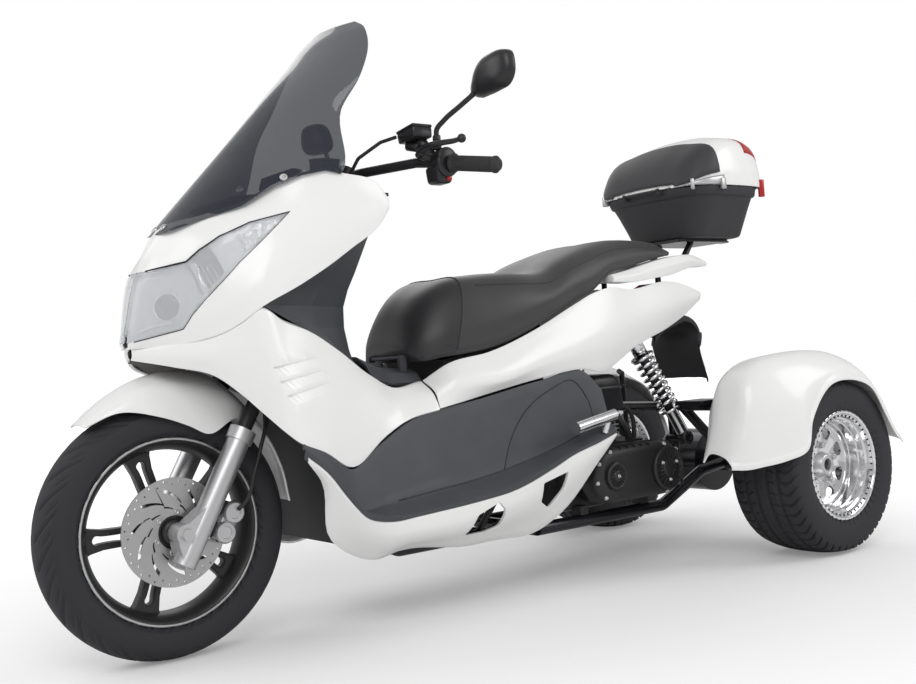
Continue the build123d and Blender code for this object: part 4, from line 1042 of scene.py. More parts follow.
SIDE = Panel((
    (-52, ((12, 612), (20, 622), (19, 632), (7, 639))),
    (0, ((108, 592), (116, 614), (111, 633), (99, 640))),
    (57, ((160, 571), (172, 608), (166, 644), (154, 651))),
    (100, ((190, 530), (204, 598), (203, 666), (191, 673))),
    (138, ((214, 485), (232, 590), (228, 694), (216, 701))),
    (190, ((246, 429), (241, 540), (219, 668), (207, 675))),
    (250, ((240, 403), (226, 520), (207, 648), (195, 655))),
    (331, ((214, 362), (204, 480), (182, 607), (170, 614))),
    (437, ((185, 416), (172, 480), (142, 546), (134, 547))),
    (513, ((175, 448), (152, 480), (120, 515), (112, 516))),
    (590, ((178, 461), (158, 495), (112, 525), (104, 526))),
), sharp=(2,))
LOWER = Panel((
    (205, ((249, 386), (251, 390), (252, 396))),
    (240, ((235, 345), (249, 350), (259, 359))),
    (280, ((192, 215), (240, 278), (262, 308))),
    (331, ((185, 176), (250, 232), (264, 254))),
    (387, ((185, 157), (256, 215), (265, 242))),
    (454, ((180, 165), (258, 212), (265, 245))),
    (650, ((175, 145), (256, 220), (263, 257))),
    (713, ((175, 146), (255, 230), (261, 263))),
    (864, ((175, 150), (247, 272), (253, 303))),
    (917, ((190, 180), (246, 292), (250, 322))),
    (1029, ((225, 300), (238, 330), (240, 346))),
    (1084, ((231, 352), (234, 357), (234, 361))),
))
FOOT = Panel((
    (200, ((243, 394), (252, 414), (249, 418), (247, 424))),
    (256, ((252, 337), (261, 357), (250, 364), (238, 399))),
    (331, ((255, 251), (264, 271), (240, 274), (214, 358))),
    (400, ((256, 233), (265, 253), (222, 276), (196, 392))),
    (513, ((256, 236), (265, 256), (212, 284), (174, 443))),
    (713, ((254, 255), (263, 275), (204, 303), (179, 477))),
    (895, ((244, 305), (253, 325), (200, 338), (188, 507))),
    (1030, ((231, 337), (240, 357), (205, 376), (188, 519))),
    (1084, ((226, 350), (235, 370), (214, 388), (192, 470))),
), sharp=(1, 2))
TAIL_SIDE = Panel((
    (592, ((178, 463), (162, 498), (114, 527))),
    (640, ((179, 470), (186, 512), (150, 562))),
    (745, ((182, 488), (205, 512), (171, 582))),
    (895, ((190, 512), (204, 548), (174, 630))),
    (1030, ((190, 524), (203, 578), (170, 686))),
    (1111, ((180, 513), (195, 602), (165, 716))),
    (1180, ((170, 540), (184, 620), (160, 728))),
    (1242, ((160, 567), (174, 640), (152, 722))),
    (1405, ((135, 615), (152, 672), (134, 742))),
    (1490, ((116, 644), (130, 688), (120, 736))),
    (1586, ((98, 690), (104, 706), (99, 714))),
))


@dataclass
class FrontBody:
    """Upper cowl, lower side panels, and both lamps with what shows inside them."""

    cowl: Panel = field(default_factory=lambda: COWL)
    fairing: Panel = field(default_factory=lambda: SIDE)
    lens_set_back: float = 0.001
    lens_wall: float = 0.003
    vent_depth: float = 0.0046
    vent_cuts: int = 10
    vents: tuple[Pairs, ...] = (
        ((148, 580), (258, 594), (280, 578), (162, 560)),
        ((159, 551), (274, 568), (295, 551), (174, 531)),
        ((172, 522), (286, 541), (304, 524), (188, 502)),
    )
    bowl_zones: tuple[tuple[str, Pairs], ...] = (
        ("REFLECTOR", ((-90, 640), (24, 650), (53, 724), (33, 808), (-90, 806))),
        ("CHROME", ((33, 808), (53, 724), (60, 732), (40, 815))),
        ("SATIN_BLACK", ((40, 815), (60, 732), (88, 766), (60, 834))),
        ("PALE", ((61, 835), (89, 767), (128, 806), (104, 866))),
        ("FACETS", ((105, 867), (129, 807), (240, 905), (170, 900))),
    )

    def build(self) -> list[Piece]:
        """Make all the pieces."""
        made = [self._cowl()]
        for name, side in SIDES:
            made.append(self._lens(name, side))
            made += self._inside(name, side)
            made.append(self._trim(name, side))
            made.append(self._fairing(name, side))
        return made

    def _prism(self, side: int, outline: Loop = LAMP_OUTLINE) -> Mesh:
        """Prism through one side, as the lamp opening or another outline."""
        return outline_prism(outline, 1 if side > 0 else -400, 400 if side > 0 else -1)

    def _skin_at(self, piece: Piece, side: int, behind: float, z: float) -> Vector:
        """Outer surface of a side panel at a station and height."""
        hit, where, _, _ = piece.ray_cast(place(behind, side * 420, z), Vector((0, -side, 0)))
        if not hit:
            _, where, _, _ = piece.closest_point_on_mesh(place(behind, side * 20, z))
        return where

    def _cowl(self) -> Piece:
        """The white upper cowl with its lamp openings."""
        piece = self.cowl.skin("front_cowl_shell")
        bake_modifiers(piece)
        carve(piece, self._prism(1))
        bm = bmesh.new()
        bm.from_mesh(piece.data)
        mirrored(bm).to_mesh(piece.data)
        bm.free()
        rounded(piece, PANEL_EDGE, RIM_ANGLE)
        return finish_piece(piece, "chassis", Finish.WHITE, ("front_cowl",))

    def _lens(self, name: str, side: int) -> Piece:
        """Clear lens, flush with the cowl."""
        panel = Panel(self.cowl.rows, self.lens_wall)
        piece = panel.skin(f"lens_{name}", side)
        bake_modifiers(piece)
        for vert in piece.data.vertices:
            vert.co.y -= side * self.lens_set_back
        carve(piece, self._prism(side), "INTERSECT")
        return finish_piece(piece, "chassis", Finish.LENS, (f"headlight_{name}",))

    def _inside(self, name: str, side: int) -> list[Piece]:
        """Reflector, louvre, pale light guide and indicator behind the lens."""
        made = []
        depths = {"REFLECTOR": 0.015, "CHROME": 0.008, "SATIN_BLACK": 0.012, "PALE": 0.006,
                  "FACETS": 0.008}
        net = self.cowl.net(side)
        centre = place(60, 0, 760)
        back = None
        for finish, outline in self.bowl_zones:
            deep = lifted(net, (0, len(net) - 1), (0, len(net[0]) - 1), -depths[finish], 0, centre)
            piece = skin_piece(f"lamp_{finish.lower()}_{name}", deep, 0.002, centre)
            if finish == "REFLECTOR":
                back = piece.copy()
                back.data = piece.data.copy()
                bpy.context.scene.collection.objects.link(back)
            carve(piece, self._prism(side, outline), "INTERSECT")
            made.append(finish_piece(piece, "chassis", Finish[finish]))
        bpy.context.view_layer.update()
        made += self._bulbs(name, side, back)
        bpy.data.objects.remove(back)
        return made

    def _bulbs(self, name: str, side: int, back: Piece) -> list[Piece]:
        """Projector ring with a dark lens, chrome arcs and louvre bars.

        Args:
            name: Side name.
            side: 1 for left, -1 for right.
            back: The uncut reflector, on which they sit.
        """
        rings, dark = bmesh.new(), bmesh.new()
        seat = self._skin_at(back, side, 2, 712)
        outward = Vector((0.72, side * 0.68, 0.1)).normalized()
        turn = placed(seat + outward * 0.001, outward)
        add_turned_mm(rings, ((26, 0), (30, 0), (30, 4), (27.5, 6), (26, 4), (26, 0)), turn, 40)
        add_turned_mm(dark, ((0, 0.5), (26, 0.5), (26, 2), (20, 4.5), (10, 6), (0, 6.4)), turn, 32)
        for z in (670, 762):
            arc = [self._skin_at(back, side, b, z + lift) + outward * 0.003
                   for b, lift in ((-38, -4), (-20, 6), (0, 10), (18, 14))]
            add_tube(rings, spline(arc, 5), 0.0022, 8)
        for k in range(4):
            share = (k + 0.5) / 4
            low = self._skin_at(back, side, 59 + 24 * share, 736 + 30 * share)
            high = self._skin_at(back, side, 42 + 19 * share, 812 + 18 * share)
            lift = Vector((0.004, side * 0.008, 0))
            add_tube(rings, [low + lift, high + lift], 0.0011, 6)
        outwards(rings)
        return [finished(f"lamp_rings_{name}", rings, "chassis", Finish.CHROME),
                finished(f"lamp_eye_{name}", dark, "chassis", Finish.BLACK_GLOSS)]

    def _trim(self, name: str, side: int) -> Piece:
        """Black seal round the lamp opening, thicker under the brow."""
        panel = Panel(self.cowl.rows, 0.004)
        skin = panel.skin("trim_guide", side)
        bake_modifiers(skin)
        bm = bmesh.new()
        lower = ((-52, 648), (-20, 657), (13, 666), (27, 693), (48, 721), (111, 792), (165, 842),
                 (219, 892))
        upper = ((-22, 789), (29, 800), (48, 821), (79, 845), (136, 871), (219, 892))
        for line, radius in ((lower, 0.0010), (upper, 0.0019)):
            path = []
            for (b0, z0), (b1, z1) in zip(line, line[1:]):
                for k in range(6):
                    path.append(self._skin_at(skin, side, b0 + (b1 - b0) * k / 6,
                                              z0 + (z1 - z0) * k / 6))
            path.append(self._skin_at(skin, side, *line[-1]))
            add_tube(bm, path, lambda t, r=radius: r * (1.1 - 0.6 * t), 8)
        bpy.data.objects.remove(skin)
        return finished(f"lamp_seal_{name}", bm, "chassis", Finish.BLACK_GLOSS)

    def _fairing(self, name: str, side: int) -> Piece:
        """White lower side panel with three wedge-shaped recesses."""
        piece = self.fairing.skin(f"side_panel_{name}", side)
        bake_modifiers(piece)
        cutters = bmesh.new()
        for vent in self.vents:
            (b0, z0), (b1, z1), (b2, z2), (b3, z3) = vent
            rings = []
            for k in range(self.vent_cuts + 1):
                t = k / self.vent_cuts
                top = self._skin_at(piece, side, b0 + (b1 - b0) * t, z0 + (z1 - z0) * t)
                low = self._skin_at(piece, side, b3 + (b2 - b3) * t, z3 + (z2 - z3) * t)
                inward = Vector((0, side * (self.vent_depth * (1 - t) + 0.0005), 0))
                out = Vector((0, side * 0.012, 0))
                rings.append([top + out, top - inward, low + out * 0.02, low + out])
            wedge = stacked(rings)
            outwards(wedge)
            join(cutters, wedge)
        carve(piece, cutters)
        rounded(piece, 0.0008, 40)
        return finish_piece(piece, "chassis", Finish.WHITE, (f"side_fairing_{name}",))


@dataclass
class Floor:
    """Foot panels with their lines, and the lower panels."""

    foot: Panel = field(default_factory=lambda: FOOT)
    lower: Panel = field(default_factory=lambda: LOWER)
    openings: tuple[Pairs, ...] = (
        ((600, 180), (616, 225), (679, 246), (700, 225), (700, 190), (660, 180)),
        ((819, 270), (905, 288), (898, 250), (862, 205), (823, 225)),
    )
    fold: int = 12
    door: tuple[tuple[int, int], ...] = (
        (31, 12), (32, 14), (34, 16), (37, 17), (40, 17), (42, 15), (43, 12))

    def build(self) -> list[Piece]:
        """Make all the pieces."""
        made = []
        for name, side in SIDES:
            foot = self.foot.skin(f"foot_well_{name}", side)
            rounded(foot, 0.0015, RIM_ANGLE)
            made.append(finish_piece(foot, "chassis", Finish.DARK_GREY, (f"foot_panel_{name}",)))
            made.append(self._lines(name, side))
            lower = self.lower.skin(f"lower_panel_{name}", side)
            bake_modifiers(lower)
            for outline in self.openings:
                low, high = (100, 400) if side > 0 else (-400, -100)
                carve(lower, outline_prism(outline, low, high, round_off=0.006))
            rounded(lower, PANEL_EDGE, RIM_ANGLE)
            made.append(finish_piece(lower, "chassis", Finish.WHITE, (f"lower_fairing_{name}",)))
        return made

    def _lines(self, name: str, side: int) -> Piece:
        """Raised line along the fold of the foot panel, and the outline of its access door."""
        net = self.foot.net(side)
        bm = bmesh.new()
        add_tube(bm, [row[self.fold] for row in net[20:-8]], 0.0022, 8)
        add_tube(bm, spline([net[i][j] for i, j in self.door], 4), 0.0014, 8)
        return finished(f"foot_lines_{name}", bm, "chassis", Finish.SATIN_BLACK)


@dataclass
class Tail:
    """Rear body sides and the grab rail."""

    cover: Panel = field(default_factory=lambda: TAIL_SIDE)
    rail_rows: Rows = (
        (1176, ((166, 740), (170, 750), (160, 760), (128, 760), (128, 740))),
        (1257, ((166, 740), (168, 758), (152, 774), (112, 774), (112, 740))),
        (1329, ((160, 748), (162, 772), (148, 790), (104, 790), (104, 748))),
        (1413, ((150, 758), (156, 784), (144, 806), (98, 806), (98, 758))),
        (1523, ((134, 780), (142, 798), (134, 814), (92, 814), (92, 780))),
        (1594, ((124, 784), (128, 790), (124, 796), (86, 796), (86, 784))),
    )

    def build(self) -> list[Piece]:
        """Make all the pieces."""
        made = []
        for name, side in SIDES:
            cover = self.cover.skin(f"rear_side_{name}", side)
            rounded(cover, PANEL_EDGE, RIM_ANGLE)
            made.append(finish_piece(cover, "chassis", Finish.WHITE, (f"tail_cover_{name}",)))
        made.append(self._rail())
        return made

    def _rail(self) -> Piece:
        """White grab rail: two arms and a bridge behind the seat."""
        bm = bmesh.new()
        rows = [[place(b, y, z) for y, z in (*ring, ring[0])] for b, ring in self.rail_rows]
        join(bm, closed(grid(smooth_rows(rows, 5, 1))))
        mirrored(bm)
        add_block(bm, (0.060, 0.190, 0.010), shifted(1560, 0, 791), 0.003)
        piece = new_object("rear_rail", bm)
        rounded(piece, 0.006, 30, 3)
        return finish_piece(piece, "chassis", Finish.WHITE, ("grab_rail",))


@dataclass
class Screen:
    """Tall smoked windshield with its screws."""

    rows: tuple[tuple[float, float, float, float], ...] = (
        (868, 18, 150, 190), (980, 121, 342, 234), (1115, 244, 370, 194), (1192, 314, 417, 202),
        (1263, 380, 450, 190), (1313, 424, 466, 158), (1340, 450, 474, 110),
    )
    foot: Pairs = (
        (0, 860), (20, 866), (83, 889), (142, 909), (197, 944), (253, 967), (303, 977), (360, 966))
    wall: float = 0.005
    across: int = 40
    screws: tuple[Point, ...] = ((26, 22, 885), (150, 141, 943), (190, 246, 987))

    def _row(self, z: float, middle: float, edge: float, half: float) -> list[Vector]:
        """Arc of the sheet at one height."""
        rise = edge - middle
        radius = (rise * rise + half * half) / (2 * rise)
        reach = math.asin(min(1.0, half / radius))
        if rise > radius:
            reach = math.pi - reach
        out = []
        for step in range(self.across + 1):
            angle = reach * (2 * step / self.across - 1)
            out.append(place(middle + radius * (1 - math.cos(angle)), radius * math.sin(angle), z))
        return out

    def build(self) -> list[Piece]:
        """Make the sheet and its screws."""
        rows = [self._row(*row) for row in self.rows]
        columns = [spline([row[j] for row in rows], 8) for j in range(self.across + 1)]
        bm = grid([[column[i] for column in columns] for i in range(len(columns[0]))])
        face_along(bm, 0)
        sheet = new_object("screen_sheet", bm)
        thicken(sheet, self.wall)
        bake_modifiers(sheet)
        outline = self.foot + ((400, 900), (400, 800), (-10, 800))
        carve(sheet, outline_prism(outline, -300, 300))
        rounded(sheet, 0.001, RIM_ANGLE)
        surface = BVHTree.FromPolygons([vert.co for vert in sheet.data.vertices],
                                       [face.vertices[:] for face in sheet.data.polygons])
        screws = bmesh.new()
        for behind, y, z in self.screws:
            for side in (1, -1):
                where, outward, _, _ = surface.find_nearest(place(behind, side * y, z))
                add_bolt(screws, where, outward, 0.0085, 0.0045)
        return [finish_piece(sheet, "chassis", Finish.SMOKED, ("windshield",)),
                finished("screen_screws", screws, "chassis", Finish.STEEL)]


SEAT_ROWS: Rows = (
    (572, ((88, 590), (84, 600), (60, 612), (0, 616))),
    (592, ((118, 572), (112, 620), (66, 668), (0, 674))),
    (632, ((148, 577), (140, 640), (84, 716), (0, 724))),
    (690, ((163, 583), (160, 650), (108, 748), (0, 757))),
    (776, ((170, 596), (176, 660), (130, 754), (0, 770))),
    (860, ((172, 622), (184, 680), (150, 752), (0, 772))),
    (953, ((170, 660), (184, 705), (156, 750), (0, 768))),
    (1042, ((164, 696), (172, 740), (150, 784), (0, 808))),
    (1111, ((160, 722), (166, 758), (146, 806), (0, 832))),
    (1176, ((152, 764), (158, 785), (136, 826), (0, 849))),
    (1257, ((140, 778), (146, 800), (128, 838), (0, 858))),
    (1329, ((130, 794), (136, 810), (118, 842), (0, 857))),
    (1413, ((118, 810), (122, 820), (104, 842), (0, 852))),
    (1476, ((90, 817), (94, 823), (80, 834), (0, 842))),
)


@dataclass
class Saddle:
    """Stepped two-part seat with its seams; columns count the points of a row of its net."""

    edges: tuple[int, int] = (7, 41)
    crests: tuple[int, int] = (17, 31)
    edge_start: int = 6
    crest_start: int = 22

    def build(self) -> list[Piece]:
        """Make the cushion."""
        rows = []
        for behind, points in SEAT_ROWS:
            half = [place(behind, y, z) for y, z in points]
            base = place(behind, 0, points[0][1])
            rows.append([base] + both_halves(half) + [base])
        net = smooth_rows(rows, 6, 6, sharp=(1, 7))
        cushion = finished("saddle_cushion", closed(grid(net)), "seat", Finish.SADDLE, ("seat",))
        return [cushion, self._seams(net)]

    def _seams(self, net: Net) -> Piece:
        """Nose seam, crest welt and the piping round the lower edge."""
        bm = bmesh.new()
        nose = []
        first, last = self.edges
        for column in range(first, last + 1):
            for here, after in zip(net, net[1:]):
                gaps = [X_FRONT - p[column].x - SEAM_BEHIND * MM - SEAM_SLANT * (p[column].z - 0.6)
                        for p in (here, after)]
                if gaps[0] <= 0 < gaps[1]:
                    nose.append(here[column].lerp(after[column], gaps[0] / (gaps[0] - gaps[1])))
                    break
        add_tube(bm, nose, 0.0022, 8)
        for columns, start in ((self.edges, self.edge_start), (self.crests, self.crest_start)):
            for column in columns:
                add_tube(bm, [row[column] for row in net[start:-4]], 0.0020, 8)
        return finished("saddle_seams", bm, "seat", Finish.VINYL)


# ---------------------------------------------------------------- plates and wheels


def ring_loop(radius: float, count: int, centre: tuple[float, float] = (0, 0)) -> Loop:
    """Circle as a closed outline."""
    turns = [math.tau * k / count for k in range(count)]
    return [(centre[0] + radius * math.cos(t), centre[1] + radius * math.sin(t)) for t in turns]


def polar(radius: float, degrees: float) -> tuple[float, float]:
    """Point of a plate from its radius and angle."""
    return radius * math.cos(math.radians(degrees)), radius * math.sin(math.radians(degrees))


def soft_loop(points: Loop, steps: int = 4) -> list[tuple[float, float]]:
    """Closed smooth outline through the points."""
    wrapped = [Vector((x, y, 0)) for x, y in (*points[-2:], *points, *points[:2])]
    fine = spline(wrapped, steps)
    return [(p.x, p.y) for p in fine[2 * steps:(2 + len(points)) * steps]]


def add_plate(bm: Mesh, loops: Sequence[Loop], thickness: float, matrix: Matrix,
              bevel: float = 0.001) -> None:
    """Add a flat plate with holes.

    Args:
        bm: Mesh that receives it.
        loops: The outline first, then any holes, in metres of the local XY plane.
        thickness: Reach along local Z, from 0.
        matrix: Placement.
        bevel: Rounding of the edges of its outer face.
    """
    part = bmesh.new()
    edges = []
    for loop in loops:
        verts = [part.verts.new((x, y, 0)) for x, y in loop]
        edges += [part.edges.new(pair) for pair in zip(verts, verts[1:] + verts[:1])]
    bmesh.ops.triangle_fill(part, edges=edges, use_beauty=True, normal=(0, 0, 1))
    raised = bmesh.ops.extrude_face_region(part, geom=part.faces[:])
    top = [g for g in raised["geom"] if isinstance(g, bmesh.types.BMVert)]
    bmesh.ops.translate(part, vec=(0, 0, thickness), verts=top)
    outwards(part)
    if bevel:
        rim = [e for e in part.edges if min(v.co.z for v in e.verts) > thickness * 0.9
               and e.calc_face_angle(0) > 1]
        bmesh.ops.bevel(part, geom=rim, offset=bevel, segments=2, profile=0.5, affect="EDGES",
                        material=-1)
    bmesh.ops.transform(part, matrix=matrix, verts=part.verts)
    join(bm, part)


def window(value: float, start: float, full: float, ease: float, end: float) -> float:
    """0 outside start..end, 1 between full and ease, smooth between."""
    if value <= start or value >= end:
        return 0.0
    share = min((value - start) / (full - start), (end - value) / (end - ease), 1.0)
    return share * share * (3 - 2 * share)


@dataclass(frozen=True)
class Tread:
    """Tyre shape: half section and the grooves of one pitch, which repeats round the wheel.

    Sides and radii are in millimetres. A column is its place in the pitch and the mark that is
    cut there; a mark has a depth and the four sides between which it fades in and out.
    """

    half: Pairs
    pitches: int
    columns: tuple[tuple[float, int], ...]
    marks: tuple[tuple[float, float, float, float, float], ...]
    ring_cuts: tuple[float, ...]
    ring_depth: float
    lean: Callable[[float], float]

    def build(self, name: str, centre: Vector) -> Piece:
        """Make the tyre.

        Args:
            name: Name of the piece.
            centre: Middle of the wheel.
        """
        section = [(-y, r) for y, r in self.half[:0:-1]] + list(self.half)
        section.append(section[0])
        rows = []
        for pitch in range(self.pitches):
            for place_in_pitch, mark in self.columns:
                row = []
                for y, radius in section:
                    depth = 0.0
                    if mark:
                        reach, *fade = self.marks[mark - 1]
                        depth = reach * window(abs(y), *fade)
                    if abs(y) in self.ring_cuts:
                        depth = max(depth, self.ring_depth)
                    turn = math.tau * (pitch + place_in_pitch) / self.pitches + self.lean(abs(y))
                    r = (radius - depth) * MM
                    row.append(centre + Vector((r * math.cos(turn), y * MM, r * math.sin(turn))))
                rows.append(row)
        rows.append(rows[0])
        bm = grid(rows)
        outwards(bm)
        return new_object(name, bm)


def crown(sides: Sequence[float], radius: float, drop: float, half: float,
          power: float) -> Pairs:
    """Rounded tread band as (side, radius) points."""
    return tuple((y, radius - drop * (y / half) ** power) for y in sides)


FRONT_TREAD = Tread(
    half=crown((0, 4, 8, 12, 17, 22, 28, 34, 37, 42, 47, 50, 53, 56), 262, 24, 57, 2.3)
    + ((58.4, 231), (59.8, 224), (60, 217), (59, 209), (57.6, 204), (57.3, 202), (55.6, 199.5),
       (51, 195.5), (46, 193.4), (41.4, 192.4), (40.6, 190.6), (40.5, 183.5)),
    pitches=28,
    columns=((0.0, 0), (0.10, 0), (0.15, 1), (0.27, 1), (0.32, 0), (0.52, 0), (0.57, 2), (0.63, 2),
             (0.68, 0), (0.86, 0)),
    marks=((3.4, 7, 12, 50, 56), (2.2, 34, 37, 47, 53)),
    ring_cuts=(), ring_depth=0,
    lean=lambda y: math.radians(17) * (min(y, 58) / 58) ** 1.6,
)
REAR_TREAD = Tread(
    half=crown((0, 6, 13, 15, 21, 23, 30, 38, 45, 47, 53, 55, 62, 70, 78, 84, 89, 93),
               229.5, 12, 95, 2.6)
    + ((97, 213.5), (100, 207), (102, 197), (102.5, 186), (102, 173), (100.4, 160), (99.8, 158.6),
       (97, 149.5), (94.8, 143.6), (91, 142.8), (90.7, 140.6), (90.6, 130.7)),
    pitches=48,
    columns=((0.0, 0), (0.12, 0), (0.17, 1), (0.35, 1), (0.40, 0), (0.58, 0), (0.62, 2), (0.70, 2),
             (0.74, 0)),
    marks=((5.0, 55, 62, 97, 101), (3.5, 23, 30, 38, 45)),
    ring_cuts=(15, 21, 47, 53), ring_depth=6,
    lean=lambda y: math.radians(4.2) * math.sin(min(y, 98) / 98 * math.tau)
    + math.radians(0.05) * y,
)


@dataclass
class FrontWheel:
    """Treaded tyre, twin-bar spoked rim, floating disc and its carrier."""

    spokes: int = 5
    start: float = 54.0
    swirls: int = 10
    drillings: int = 40
    disc_cut: tuple[float, float] = (0.045, 0.059)
    bar: Pairs = ((30, 20), (52, 21), (90, 19), (130, 20), (156, 25), (169, 31),
                  (169, -31), (156, -25), (130, -20), (90, -19), (52, -21), (30, -20))
    slot: Pairs = ((60, 0), (66, 6), (100, 6.5), (134, 7.5), (146, 9), (152, 0),
                   (146, -9), (134, -7.5), (100, -6.5), (66, -6))
    hub: Pairs = ((11, -42), (30, -42), (33, -39), (33, -20), (40, -13), (40, 11), (36, 14),
                  (36, 38), (33, 41), (11, 41), (11, -42))
    flange: Pairs = ((190.4, 43.8), (190.0, 44.5), (186.0, 44.4), (184.4, 43.7), (187.0, 43.4),
                     (190.4, 43.8))
    rim: Pairs = ((190.8, 43.6), (190.2, 41.6), (186, 41.2), (183, 40.0), (182.4, 36), (176, 27),
                  (171, 14), (171, -14), (176, -27), (182.4, -36), (183, -40), (186, -41.2),
                  (190.2, -41.6), (190.8, -43.6), (189, -44), (184, -43.4), (179, -39), (171, -29),
                  (166, -15), (164, 0), (166, 15), (171, 29), (179, 39), (184, 43.4), (189, 44),
                  (190.8, 43.6))

    def build(self) -> list[Piece]:
        """Make all the pieces."""
        tyre = FRONT_TREAD.build("tyre_front", FRONT_CENTRE)
        made = [finish_piece(tyre, "front_wheel", Finish.TYRE, ("front_tyre",))]
        wheel = placed(FRONT_CENTRE, LEFT)
        ring = bmesh.new()
        add_turned_mm(ring, self.rim, wheel, 120)
        self._spokes(ring, wheel)
        piece = new_object("rim_front", ring)
        rounded(piece, 0.0012, 38, 2)
        made.append(finish_piece(piece, "front_wheel", Finish.ALLOY_BLACK, ("front_rim",)))
        made.append(self._lip(wheel))
        made += self._disc(wheel)
        return made

    def _spokes(self, bm: Mesh, wheel: Matrix) -> None:
        """Hub barrel and the twin-bar spokes."""
        for index in range(self.spokes):
            angle = math.radians(90 - self.start - 360 * index / self.spokes)
            turn = wheel @ Matrix.Rotation(angle, 4, "Z")
            loops = (in_metres(self.bar), in_metres(soft_loop(self.slot, 3)))
            add_plate(bm, loops, 0.026, turn @ Matrix.Translation((0, 0, -0.013)), 0.003)
        add_turned_mm(bm, self.hub, wheel, 48)

    def _lip(self, wheel: Matrix) -> Piece:
        """Bright machined ring on each flange."""
        bm = bmesh.new()
        for side in (1, -1):
            add_turned_mm(bm, [(r, side * y) for r, y in self.flange], wheel, 120)
        outwards(bm)
        return finished("rim_front_lip", bm, "front_wheel", Finish.STEEL)

    def _disc(self, wheel: Matrix) -> list[Piece]:
        """Drilled and slotted disc, its black carrier and the bolts."""
        loops = [ring_loop(0.0022, 8, polar(0.1035 if k % 2 else 0.0965, 360 // self.drillings * k))
                 for k in range(self.drillings)]
        for k in range(self.swirls):
            for start, length, turn, sweep, thin, wide in (
                    (0.060, 0.027, 0, 30, 0.0018, 0.0044), (0.047, 0.008, 18, 20, 0.0013, 0.0022)):
                line = [(start + length * t, 36 * k + turn + sweep * t, thin + (wide - thin) * t)
                        for t in (0, 0.2, 0.4, 0.6, 0.8, 1)]
                inner_edge = [polar(r - w, a) for r, a, w in line]
                outer_edge = [polar(r + w, a) for r, a, w in line[::-1]]
                loops.append(inner_edge + outer_edge)
        cutter = bmesh.new()
        for loop in loops:
            join(cutter, stacked([[wheel @ Vector((x, y, z)) for x, y in loop]
                                  for z in self.disc_cut]))
        disc = bmesh.new()
        add_turned_mm(disc, ((34, 50), (110, 50), (110, 54), (34, 54), (34, 50)), wheel, 120)
        ring = new_object("disc_ring", disc, False)
        carve(ring, cutter)
        finish_piece(ring, "front_wheel", Finish.DISC, ("brake_disc",))
        carrier = bmesh.new()
        arms = []
        for a in range(0, 360, 6):
            lobe = max(0.0, math.cos(math.radians(a * 6))) ** 1.5
            arms.append(polar(0.056 + 0.0125 * lobe, a))
        holes = [ring_loop(0.0065, 10, polar(0.045, 60 * k + 30)) for k in range(6)]
        add_plate(carrier, (arms, ring_loop(0.014, 24), *holes), 0.009,
                  wheel @ Matrix.Translation((0, 0, 0.0415)), 0.0015)
        add_turned_mm(carrier, ((11, 50), (11, 60), (15, 62), (22, 61), (26, 55), (28, 50),
                                (11, 50)), wheel, 32)
        hub = finished("disc_carrier", carrier, "front_wheel", Finish.ALLOY_BLACK)
        bolts = bmesh.new()
        for k in range(6):
            x, y = polar(0.0405, 60 * k + 20)
            where = wheel @ Vector((x, y, 0.0505))
            add_turned_mm(bolts, ((0, -4), (5.2, -4), (5.2, 3.6), (5.8, 4), (5.8, 6), (2.8, 6.6),
                                  (2.6, 4.2), (0, 4.2)), placed(where, LEFT), 14)
        return [ring, hub, finished("disc_bolts", bolts, "front_wheel", Finish.STEEL)]


